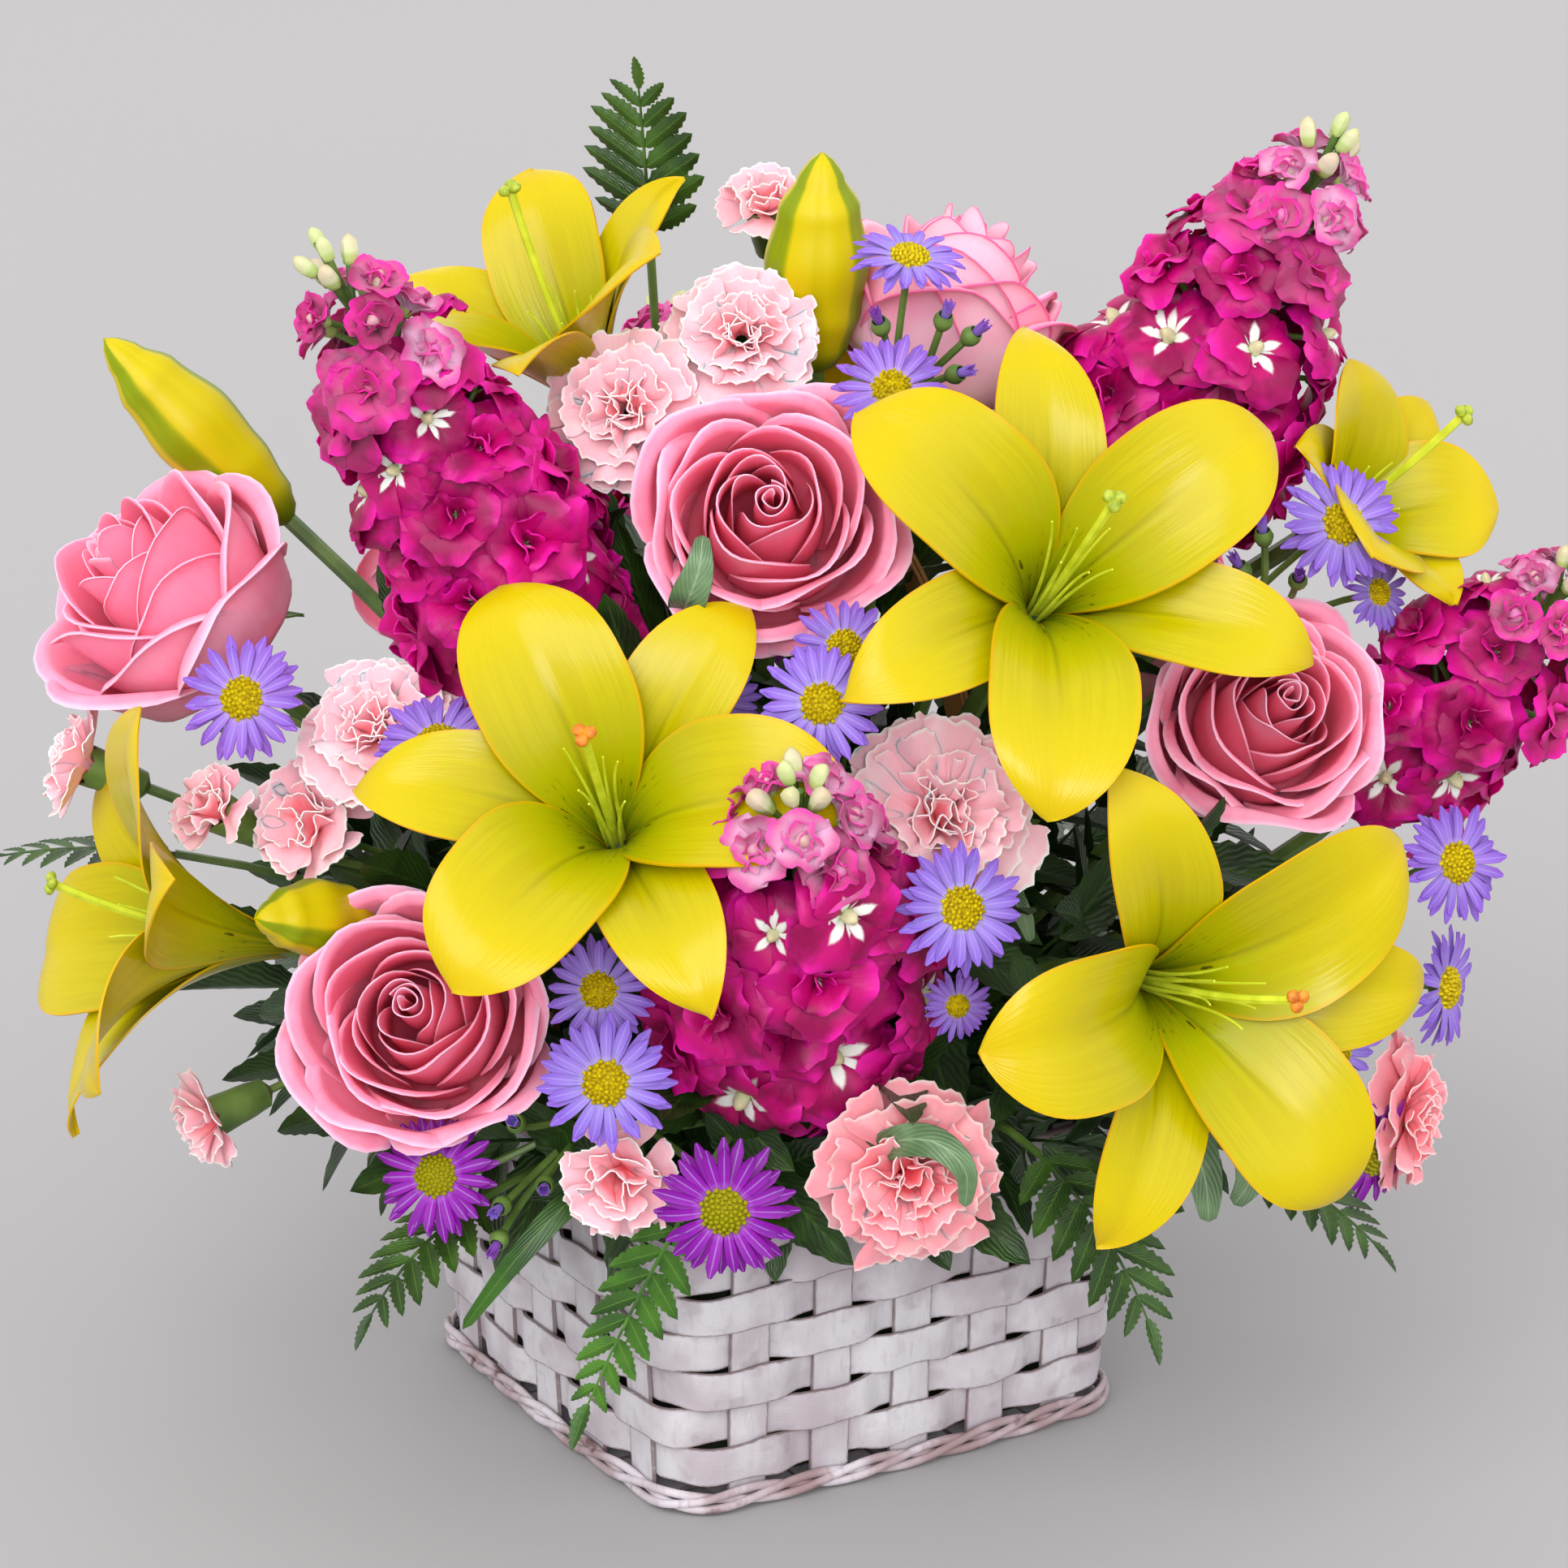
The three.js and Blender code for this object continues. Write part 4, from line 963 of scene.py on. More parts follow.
def rose_petal(radius, ring, spread, phase):
    """One petal of the ring, from 0 at the heart to 1 outermost, its middle towards +X."""
    start = 0.95 - 0.15 * ring
    roll = radius * (0.010 + 0.085 * ring ** 1.6)
    roll_turn = math.radians(40 + 75 * ring)
    first_lean = math.radians(40) * ring
    rim = radius * (0.10 + 0.78 * ring)
    flare = -0.34 + 0.62 * ring
    height = radius * (1.34 - 0.54 * ring ** 1.4)

    def shape(u, v):
        body = min(v / start, 1)
        outline = 1 - 0.40 * abs(u) ** 2.6 + 0.02 * math.exp(-(u / 0.2) ** 2)
        up = body * outline
        r = rim / (1 + flare) * (min(up / 0.42, 1) ** 0.60) * (1 + flare * eased((up - 0.32) / 0.68))
        z = height * up ** (1 + 0.75 * ring)
        rolled = (0.55 + 0.7 * abs(u + 0.2 * math.sin(phase))) * (1 - 0.8 * abs(u) ** 4)
        turned = first_lean * (1 - 0.6 * u ** 4) + max(v - start, 0) / (1 - start) * roll_turn * rolled
        r += roll * (math.cos(first_lean) - math.cos(turned))
        z += roll * (math.sin(turned) - math.sin(first_lean)) * (1 - u ** 4)
        r += radius * (0.050 * u + (0.018 + 0.03 * ring) * math.sin(3.6 * u + phase) * up ** 2)
        z += radius * (0.022 + 0.03 * ring) * math.sin(2.9 * u + 2 * phase) * up ** 3
        r += radius * 0.014 * math.sin(8 * u + phase) * max(v - 0.75, 0) / 0.25 * ring
        wide = 0.34 + 0.66 * math.sin(min(body / 0.6, 1) * math.pi / 2)
        turn = math.radians(spread / 2) * u * wide
        return (r * math.cos(turn), r * math.sin(turn), max(z, 0.5))
    return sheet(16, 20, shape, 0.4)


def rose_heart(radius):
    """The heart: one strip wound up a little more than twice."""
    def shape(u, v):
        wound = (u + 1) / 2
        turn = wound * 4.3 * math.pi
        r = radius * (0.015 + 0.125 * wound ** 0.8)
        r *= (1 + 0.25 * math.sin(v * math.pi)) * (0.82 + 0.18 * (1 - v))
        z = radius * (0.45 + (0.86 + 0.05 * math.sin(2.3 * turn) - 0.07 * wound) * v)
        r += radius * 0.02 * max(v - 0.88, 0) / 0.12
        return (r * math.cos(turn) + radius * 0.04, r * math.sin(turn) - radius * 0.03, z)
    return sheet(80, 10, shape, 0.4)


def rose_hip(radius):
    """The green hip under the petals, and the five sepals that curl down round it."""
    hip = round_body(16, 10, lambda u, v: (
        0.24 * radius * math.sin(math.pi * min(v * 0.9 + 0.04, 1)), radius * (-0.10 + 0.28 * v)))
    parts = [wearing(hip, green_stem)]
    sepal = sheet(4, 8, lambda u, v: (
        radius * (0.12 + 0.42 * v), u * radius * 0.10 * (1 - v) ** 0.7 * (1 + v),
        radius * (0.02 + 0.02 * abs(u) - 0.30 * v * v)), 0.6)
    wearing(sepal, green_stem)
    parts += [copied(sepal, spun(72 * k + 10)) for k in range(5)]
    put_away(sepal)
    return parts


# The rings from the heart out: how far out from 0 to 1, how many petals, and how wide they spread.
ROSE_RINGS = ((0.12, 3, 170), (0.24, 3, 168), (0.38, 3, 160), (0.54, 3, 152), (0.72, 4, 132), (0.90, 4, 124),
              (1.0, 4, 112))
for count, (name, plant) in enumerate(ROSES.items()):
    radius = plant.get("radius", 44)
    skin = cream_rose if name == "rose_top" else pink_rose
    loose = random.Random(70 + count)
    heart = wearing(rose_heart(radius), skin)
    parts = [copied(heart, Matrix.Identity(4), 0.0)]
    put_away(heart)
    for k, (ring, number, spread) in enumerate(ROSE_RINGS):
        for i in range(number):
            size = radius * loose.uniform(0.94, 1.04)
            petal = rose_petal(size, ring * loose.uniform(0.93, 1.0), spread * loose.uniform(0.9, 1.08),
                               loose.uniform(0, 6))
            wearing(petal, skin)
            angle = 360 * i / number + 47 * k + loose.uniform(-14, 14)
            tip = Matrix.Rotation(math.radians(loose.uniform(-3, 7) * ring), 4, "Y")
            parts.append(copied(petal, spun(angle) @ tip, ring))
            put_away(petal)
    planted(parts + rose_hip(radius), name, plant, 35 * count, 3, "bloom", "rose_petal")

# Stock: spikes of double magenta florets, crumpled and set close round a stout stem, with
# whitish green hearts; towards the tip they give way to pale buds.
stock_petal = Finish("stock_petal", 0.46)
stock_petal.petal(0.25, 0.003, 0.25)
from_rib, up = stock_petal.from_rib(), stock_petal.along()[1]
shade = stock_petal.value_of("tone")
# Darker magenta at the petal's foot, deep in the floret, and lighter towards its tip: painted shade and
# painted highlight.
base = stock_petal.ramp(up, (0.0, tint(0.52, 0.0, 0.30)), (0.35, tint(0.70, 0.0, 0.38)),
                        (0.75, tint(0.74, 0.0, 0.43)), (1.0, tint(0.90, 0.08, 0.62)))
# Dark magenta blotches, placed by noise: painted shade of the folds between the petals.
cloud = stock_petal.fade(stock_petal.noise(75, 3), 0.42, 0.64, 0.0, 0.85)
base = stock_petal.blend(cloud, base, tint(0.50, 0.0, 0.25))
young = stock_petal.times(stock_petal.fade(shade, 0.1, 0.8), stock_petal.fade(up, 1.0, 0.45, 0.15, 0.95))
base = stock_petal.blend(young, base, tint(0.95, 0.74, 0.87))
claw = stock_petal.plus(up, stock_petal.times(from_rib, 0.62))
star = stock_petal.fade(shade, -0.2, -0.8)
claw_end = stock_petal.plus(0.30, stock_petal.times(star, 0.24))
claw = stock_petal.math("SUBTRACT", claw, claw_end)
base = stock_petal.blend(stock_petal.fade(claw, 0.05, -0.06), base, tint(0.95, 0.92, 0.90))
stock_petal.colour(stock_petal.blend(stock_petal.fade(up, 0.12, 0.04), base, tint(0.48, 0.60, 0.22)))
stock_petal.bump(stock_petal.effect(long_lines, Lines_across=12.0, Lines_along=3.0)["Height"], 0.3, 0.0007)

stock_bud = Finish("stock_bud", 0.5)
up = stock_bud.along()[1]
pale_bud = stock_bud.ramp(up, (0.0, tint(0.42, 0.56, 0.20)), (0.34, tint(0.60, 0.72, 0.36)),
                          (0.50, tint(0.90, 0.84, 0.86)), (0.75, tint(0.88, 0.60, 0.80)),
                          (1.0, tint(0.78, 0.24, 0.62)))
stock_bud.colour(stock_bud.blend(stock_bud.value_of("tone"), pale_bud, tint(0.76, 0.84, 0.52)))
stock_bud.bump(stock_bud.noise(400, 2), 0.2, 0.0005)


def stock_floret(rings, seed):
    """A floret of 38 mm across. Each ring of crumpled petals is (lean, length, number)."""
    crumple = random.Random(seed)
    petals = []
    for ring, (lean, length, number) in enumerate(rings):
        for i in range(number):
            phase, wave, twist = crumple.uniform(0, 6), crumple.uniform(0.7, 1.5), crumple.uniform(-10, 10)
            tilt = math.radians(lean + crumple.uniform(-12, 12))

            def shape(u, v, length=length, tilt=tilt, phase=phase, wave=wave):
                bend = tilt * (0.30 + 0.70 * v)
                notch = 0.07 * math.exp(-((u - 0.2 * math.sin(phase)) / 0.22) ** 2)
                reach = length * v * (1 - (0.26 * abs(u) ** 2.4 + notch) * v ** 2)
                half = length * 0.60 * (0.10 + 0.90 * eased((v - 0.08) / 0.60))
                half *= 1 - 0.34 * eased((v - 0.68) / 0.32)
                ruffle = wave * 0.11 * length * math.sin(2.7 * u + phase + 1.2 * v) * v ** 1.4
                ruffle += 0.03 * length * math.sin(6.5 * u + 2 * phase) * eased((v - 0.55) / 0.45)
                r = 0.6 + reach * math.sin(bend) - ruffle * math.cos(bend)
                h = 1.0 + reach * math.cos(bend) + ruffle * math.sin(bend)
                return (r, half * u, h)
            petal = wearing(sheet(8, 7, shape, 0.4), stock_petal)
            petal.data.transform(spun(360 * i / number + 40 * ring + twist))
            petals.append(petal)
    return joined(petals, "floret_model")


def stock_bud_model():
    """A closed bud on its green calyx, 10 mm long, foot at the origin."""
    profile = [(0, 0.3), (0.12, 1.9), (0.45, 2.5), (0.72, 2.4), (0.92, 1.3), (1, 0)]
    body = round_body(10, 9, lambda u, v: (
        between(profile, v) * (1 + 0.12 * math.cos(3 * u * math.pi)), 10 * v))
    return wearing(body, stock_bud)


DOUBLE_FLORET = ((88, 19, 5), (62, 16.5, 4), (34, 12, 3), (12, 7, 2))
STAR_FLORET = ((100, 19, 5), (84, 17, 4))
HALF_OPEN_FLORET = ((52, 13, 4), (26, 11, 4), (8, 9, 2))
SPIKE_OUTLINE = [(0.0, 0.45), (0.02, 0.5), (0.22, 1), (0.5, 0.95), (0.78, 0.72), (0.97, 0.40), (1.0, 0.2)]
SPIKE_TIPS, OPEN_TIPS = 15, 9
SPIKE_RADIUS = 38
GOLDEN_TURN = 137.5
double_florets = [stock_floret(DOUBLE_FLORET, seed) for seed in (1, 2, 3)]
star_florets = [stock_floret(STAR_FLORET, seed) for seed in (4, 5)]
half_open_florets = [stock_floret(HALF_OPEN_FLORET, seed) for seed in (6, 7)]
closed_bud = stock_bud_model()


def stood(foot, out, size, turn):
    """Stands a floret or a bud on its foot, in mm, facing a way, spun by a turn."""
    turned = out.to_track_quat("Z", "Y").to_matrix().to_4x4() @ Matrix.Rotation(turn, 4, "Z")
    return Matrix.Translation(MM * foot) @ turned @ Matrix.Scale(size, 4)


for count, (name, plant) in enumerate(STOCKS.items()):
    length, radius = plant["length"], plant.get("radius", SPIKE_RADIUS)
    stoutness = radius / SPIKE_RADIUS
    loose = random.Random(90 + count)
    parts = [stalk(-2 * UP, 20 * UP, length * 0.97 * UP, 20 * UP, 2.4, green_stem, taper=0.5)]
    number = int(length * radius / 180)
    for k in range(number):
        share = 0.05 + 0.76 * (k + 0.5) / number
        turn = math.radians(GOLDEN_TURN * k)
        size = (1.12 - 0.45 * share ** 1.8) * stoutness * loose.uniform(0.84, 1.14)
        height = math.radians(8 + 50 * share ** 1.4 + loose.uniform(-20, 20))
        reach = max(radius * between(SPIKE_OUTLINE, share) - 12 * size, 3) * loose.uniform(0.68, 1.24)
        round_it = Vector((math.cos(turn), math.sin(turn), 0))
        out = round_it * math.cos(height) + UP * math.sin(height)
        foot = round_it * reach + (share * length - 6) * UP
        spot = stood(foot, out, size, loose.uniform(0, 6))
        star = k % 3 == 1
        model = star_florets[k % 2] if star else double_florets[k % 3]
        parts.append(copied(model, spot, -1.0 if star else max(0, share - 0.45) * loose.uniform(0.4, 1)))
        root = max(share * length - 22, 0) * UP
        parts.append(stalk(root, 5 * UP, foot + out, out * 5, 1.0, green_stem))
        if star:
            parts.append(copied(closed_bud, spot @ Matrix.Scale(0.85, 4), 0.7))
    for k in range(SPIKE_TIPS):
        step = (k + 0.5) / SPIKE_TIPS
        turn = math.radians(GOLDEN_TURN * k + 30)
        lean = math.radians(66 - 56 * step + loose.uniform(-8, 8))
        out = Vector((math.cos(turn) * math.sin(lean), math.sin(turn) * math.sin(lean), math.cos(lean)))
        opened = k < OPEN_TIPS
        size = (1.05 - 0.35 * step if opened else 1.55 - 0.7 * step) * stoutness
        root = (0.68 + 0.20 * step) * length * UP
        foot = root + out * (15 - 5 * step) * stoutness + 4 * UP
        spot = stood(foot, out, size, loose.uniform(0, 6))
        parts.append(copied(closed_bud, spot, 0.9 * step))
        if opened:
            parts.append(copied(half_open_florets[k % 2], spot, loose.uniform(0.25, 0.85)))
        parts.append(stalk(root, 4 * UP, foot + out, out * 4, 1.1, green_stem))
    planted(parts, name, plant, 0, 3, "spike", "stock_petal")
put_away(closed_bud, *double_florets, *star_florets, *half_open_florets)

# Carnations: thin fan petals with fringed rims, ruffled and crowded, out of a green cup. Pale
# pink, whiter at the fringe, and salmon towards the foot of each petal and in the inner rings.
# The mini ones are only half open.
carnation_glow = Shared("carnation_glow", ("Fold Colour", "Face Colour", "Fringe Colour"))
fold, face, fringe = carnation_glow.given[:3]
up = carnation_glow.along()[1]
ring = carnation_glow.value_of("tone")
veins = carnation_glow.effect(long_lines, Lines_across=26.0, Lines_along=2.5)["Height"]
glow = carnation_glow.blend(carnation_glow.fade(up, 0.12, 0.55), fold, face)
inner = carnation_glow.times(carnation_glow.fade(ring, 0.50, 0.0, 0.0, 0.8),
                             carnation_glow.fade(up, 0.97, 0.60))
glow = carnation_glow.blend(inner, glow, fold)
cloud = carnation_glow.fade(carnation_glow.noise(90, 3), 0.5, 0.75, 0.0, 0.4)
glow = carnation_glow.blend(cloud, glow, fringe)
glow = carnation_glow.blend(carnation_glow.fade(veins, 0.5, 0.75, 0.0, 0.10), glow, fold)
carnation_glow.gives(carnation_glow.blend(carnation_glow.fade(up, 0.93, 1.0, 0.0, 0.9), glow, fringe), veins)


def carnation_finish(name, *colours):
    return skinned(name, 0.55, carnation_glow, colours, (0.28, 0.0006), (0.9, 0.0008, 0.12))


pale_carnation = carnation_finish("pale_carnation_petal", tint(1.0, 0.52, 0.56), tint(1.0, 0.76, 0.80),
                                  tint(1.0, 0.93, 0.92))
salmon_carnation = carnation_finish("salmon_carnation_petal", tint(0.95, 0.31, 0.37), tint(1.0, 0.63, 0.67),
                                    tint(1.0, 0.84, 0.83))


def carnation_petal(length, lean, phase, folds, spread, crumple):
    """A fan, spread wide at its fringed rim; crumple says how deep its ruffles are."""
    tilt = math.radians(lean)

    def shape(u, v):
        column = round((u + 1) * 11)
        fringe = 0.02 + 0.03 * math.sin(5.1 * column + phase) + 0.02 * math.sin(2.3 * column + 2 * phase)
        reach = v * (1 - fringe * eased((v - 0.80) / 0.20) - 0.16 * abs(u) ** 2.2 * v)
        bend = tilt * min(reach / 0.45, 1) ** 0.8 + 0.25 * max(reach - 0.45, 0) * tilt
        r = 2.0 + length * reach * math.sin(0.80 * bend)
        h = length * reach * math.cos(0.80 * bend)
        fan = eased((v - 0.08) / 0.85)
        half = length * (0.07 + spread * fan)
        ruffle = crumple * length * math.sin(folds * u + phase) * eased((v - 0.2) / 0.7)
        frill = math.sin(2.2 * folds * u + 3 * v + phase) * eased((v - 0.45) / 0.55)
        ruffle += 0.35 * crumple * length * frill
        return (r - ruffle * math.cos(bend), half * u * (1 - 0.10 * abs(u)), h + ruffle * math.sin(bend))
    return sheet(22, 9, shape, 0.4)


def calyx():
    """The green cup, with five points, that the petals grow out of."""
    profile = [(0, 0.2), (0.12, 4.6), (0.5, 5.6), (1, 6.4)]
    cup = round_body(14, 8, lambda u, v: (
        between(profile, v), 21.5 * v + (1.2 * math.cos(5 * u * math.pi) if v == 1 else 0)), 0.6)
    return wearing(cup, green_stem)


# The petals of a head, from the outside in: how far they lean out, in degrees, how many there
# are, how wide and how crumpled they are, and how long, as shares of the head's radius.
FULL_HEAD = ((102, 5, 0.74, 0.060, 1.0), (86, 5, 0.70, 0.075, 0.92), (68, 5, 0.60, 0.10, 0.80),
             (50, 5, 0.52, 0.13, 0.70), (34, 5, 0.46, 0.16, 0.62), (18, 4, 0.42, 0.18, 0.56),
             (5, 3, 0.40, 0.18, 0.50))
HALF_OPEN_HEAD = ((70, 4, 0.62, 0.06, 1.1), (48, 4, 0.54, 0.09, 1.05), (28, 3, 0.48, 0.14, 0.98),
                  (8, 3, 0.44, 0.17, 0.90))
MINI_RADIUS = 19
SALMON_SPOTS = ((38, -118, 129), (185, -25, 106))
lift = Matrix.Translation((0, 0, 0.018))
for count, (name, heads) in enumerate(CARNATIONS.items()):
    parts = []
    for k, (at, faces, radius) in enumerate(heads):
        loose = random.Random(200 + 10 * count + k)
        rings = HALF_OPEN_HEAD if radius < MINI_RADIUS else FULL_HEAD
        head = [calyx()]
        for j, (lean, number, spread, crumple, share) in enumerate(rings):
            for i in range(number):
                length = radius * share * loose.uniform(0.90, 1.05)
                petal = carnation_petal(length, lean + loose.uniform(-11, 11), loose.uniform(0, 6),
                                        loose.uniform(2.6, 4.6), spread, crumple * loose.uniform(0.8, 1.3))
                wearing(petal, salmon_carnation if at in SALMON_SPOTS else pale_carnation)
                angle = 360 * i / number + 31 * j + loose.uniform(-14, 14)
                tone = 1 - j / (len(rings) - 1)
                head.append(copied(petal, lift @ spun(angle), tone))
                put_away(petal)
        for part in head:
            part.data.transform(facing(at, faces, 50 * k + 20 * count))
        parts += head
    parts += stems_of(name, [(at, faces) for at, faces, _ in heads], 1.8)
    finished(parts, name + "_heads", "carnation_petal", name)

# Asters: about thirty narrow lilac rays in two layers round a domed yellow disc of tiny
# florets, on a green cup of bracts. The three low ones at the front are purple.
aster_ray = Finish("aster_ray", 0.5)
aster_ray.petal(0.3, 0.002, 0.25)
up = aster_ray.along()[1]
lilac = aster_ray.ramp(up, (0.0, tint(0.84, 0.80, 0.94)), (0.25, tint(0.59, 0.50, 0.83)),
                       (1.0, tint(0.49, 0.34, 0.77)))
violet = aster_ray.ramp(up, (0.0, tint(0.72, 0.42, 0.84)), (0.3, tint(0.54, 0.08, 0.64)),
                        (1.0, tint(0.44, 0.02, 0.54)))
base = aster_ray.blend(aster_ray.value_of("tone"), lilac, violet)
rib = aster_ray.fade(aster_ray.from_rib(), 0.20, 0.0, 0.0, 0.3)
aster_ray.colour(aster_ray.blend(rib, base, tint(0.80, 0.74, 0.95)))
aster_ray.bump(aster_ray.effect(long_lines, Lines_across=9.0, Lines_along=2.0)["Height"], 0.2, 0.0004)

aster_disc = Finish("aster_disc", 0.6)
aster_disc.petal(0.0, 0.001)
grains = aster_disc.ramp(aster_disc.noise(700, 2), (0.35, tint(0.66, 0.56, 0.0)),
                         (0.65, tint(0.86, 0.78, 0.02)))
aster_disc.colour(aster_disc.blend(
    aster_disc.fade(aster_disc.value_of("tone"), 0.3, 1.0), grains, tint(0.62, 0.60, 0.04)))


ASTER_RADIUS = 20
DISC_GRAINS = 64


def aster_head(seed):
    """A head 20 mm from its middle to its rays' tips, its foot 6 mm under them."""
    loose = random.Random(seed)
    rays = []
    for layer, (number, length, raised) in enumerate(((19, 20, 0), (17, 18.4, 9))):
        for i in range(number):
            rise, droop = raised + loose.uniform(-5, 9), loose.uniform(8, 24)
            free = length * loose.uniform(0.92, 1.03) - 4.5

            def shape(u, v, rise=rise, droop=droop, free=free):
                slope = math.radians(rise + 8 - droop * v)
                half = 1.7 * (0.45 + 0.55 * math.sin(min(v * 1.6, 1) * math.pi / 2))
                half *= 1 if v < 0.85 else 0.72 if v < 1 else 0.25
                arched = 0.35 * half * (1 - u * u)
                return (4.5 + free * v, half * u, 6.6 + free * v * math.sin(slope) - arched)
            ray = wearing(sheet(2, 5, shape, 0.35), aster_ray)
            angle = 360 * (i + 0.5 * layer) / number + loose.uniform(-4, 4)
            ray.data.transform(spun(angle))
            rays.append(ray)
    dome = round_body(16, 5, lambda u, v: (
        6.4 * math.cos(v * math.pi / 2), 6.2 + 3.4 * math.sin(v * math.pi / 2)))
    rays.append(wearing(dome, aster_disc))
    for k in range(DISC_GRAINS):
        out = 6.7 * math.sqrt((k + 0.5) / DISC_GRAINS)
        turn = math.radians(GOLDEN_TURN * k)
        bpy.ops.mesh.primitive_ico_sphere_add(subdivisions=1, radius=0.82 * MM)
        grain = bpy.context.object
        height = 6.3 + 3.5 * math.sqrt(max(0, 1 - (out / 6.9) ** 2))
        spot = Matrix.Translation(MM * Vector((out * math.cos(turn), out * math.sin(turn), height)))
        grain.data.transform(spot @ Matrix.Diagonal((1, 1, 1.5, 1)))
        rays.append(wearing(grain, aster_disc))
    cup = round_body(12, 5, lambda u, v: (
        0.6 + 5.0 * math.sin(v * math.pi / 2), 0.5 + 6 * v ** 1.3), 0.5)
    rays.append(wearing(cup, green_stem))
    return joined(rays, "aster_model")


def aster_bud():
    """A closed bud 14 mm long, its foot at the origin: a green cup and a tuft of furled rays."""
    profile = [(0, 0.6), (0.25, 3.2), (0.6, 4.0), (1, 3.0)]
    cup = round_body(12, 6, lambda u, v: (between(profile, v), 8 * v), 0.5)
    parts = [wearing(cup, green_stem)]
    for k in range(15):
        ray = sheet(2, 4, lambda u, v: (
            0.5 + 1.7 * v ** 0.6, 0.75 * u * (1 - 0.6 * v * v), 4 + (9 + k % 3) * v), 0.35)
        ray.data.transform(spun(24 * k))
        parts.append(wearing(ray, aster_ray))
    return joined(parts, "aster_bud_model")


aster_models = [aster_head(seed) for seed in (5, 6, 7)]
closed_aster = aster_bud()
PURPLE_SPOTS = ((-13, -160, 129), (-99, -131, 125), (189, -42, 98))
ASTER_BUDS = {
    "aster_spray_top": [((51, -62, 372), (30, 60)), ((58, -58, 367), (60, 40)), ((34, -68, 372), (-30, 55)),
                        ((53, -64, 358), (50, 20))],
    "aster_spray_right": [((153, -40, 298), (-30, 70)), ((148, -38, 287), (-60, 55)),
                          ((163, -42, 286), (0, 40))],
    "aster_spray_front_left": [((-80, -138, 120), (-20, 0)), ((-68, -140, 127), (0, 10)),
                               ((-81, -138, 110), (-20, -20)), ((-76, -136, 144), (-10, 30))],
}
for count, (name, heads) in enumerate(ASTERS.items()):
    parts = []
    for k, (at, faces, radius) in enumerate(heads):
        spot = facing(at, faces, 60 * k + 25 * count) @ Matrix.Scale(radius / ASTER_RADIUS, 4)
        tone = 1.0 if at in PURPLE_SPOTS else 0.08 * ((k * 3 + count) % 4)
        parts.append(copied(aster_models[(k + count) % 3], spot, tone))
    buds = ASTER_BUDS.get(name, [])
    for k, (at, faces) in enumerate(buds):
        parts.append(copied(closed_aster, facing(at, faces, 50 * k) @ Matrix.Scale(0.75, 4), 0.3 * (k % 3)))
    parts += stems_of(name, [(at, faces) for at, faces, _ in heads] + buds, 1.7)
    finished(parts, name + "_heads", "aster_petal", name)
put_away(closed_aster, *aster_models)

# Ferns: dark, leathery fronds. Leaflets with toothed edges stand in pairs along a thin rib,
# longest near the foot of the frond.
leaf_skin = Shared("leaf_skin", ("Dark Colour", "Light Colour", "Vein Colour"))
dark, light, vein = leaf_skin.given[:3]
from_rib, up = leaf_skin.from_rib(), leaf_skin.along()[1]
cloud = leaf_skin.noise(60, 3)
slanted = leaf_skin.math("SUBTRACT", up, leaf_skin.times(from_rib, 0.4))
side_veins = leaf_skin.math("SINE", leaf_skin.times(slanted, 60))
green = leaf_skin.blend(leaf_skin.fade(cloud, 0.35, 0.68), dark, light)
green = leaf_skin.blend(leaf_skin.fade(side_veins, 0.6, 1.0, 0.0, 0.22), green, vein)
green = leaf_skin.blend(leaf_skin.fade(from_rib, 0.10, 0.02, 0.0, 0.6), green, vein)
leaf_skin.gives(green, leaf_skin.plus(side_veins, cloud))


def leaf_finish(name, *colours):
    return skinned(name, 0.42, leaf_skin, colours, (0.25, 0.0005))


fern_leaf = leaf_finish("fern_leaf", tint(0.11, 0.22, 0.05), tint(0.22, 0.36, 0.09), tint(0.32, 0.47, 0.16))
bright_fern_leaf = leaf_finish("bright_fern_leaf", tint(0.14, 0.30, 0.04), tint(0.26, 0.46, 0.08),
                               tint(0.38, 0.55, 0.16))
MODEL_LEAF = 1000


def leaf_spot(foot, way, face, size):
    """Where a leaf goes that grows from its foot, in mm, along a way, with its upper side to a face."""
    turned = Matrix((way.cross(face), way, face)).transposed().to_4x4()
    return Matrix.Translation(MM * foot) @ turned @ Matrix.Scale(size / MODEL_LEAF, 4)


def leaflet(length, width, teeth, skin):
    """One leaflet along +Y from the origin, folded a little along its rib."""
    def shape(u, v):
        row = round(v * 14)
        wide = max(0, math.sin(math.pi * min(v * 0.93 + 0.04, 1) ** 0.72)) ** 0.8 if v < 1 else 0
        wide *= 1 - (teeth if row % 2 else 0)
        folded = 0.18 * width * abs(u) * wide
        return (u * width / 2 * wide, v * length + abs(u) * length * 0.05, folded - 0.10 * length * v * v)
    return wearing(sheet(4, 14, shape, 0.5), skin)


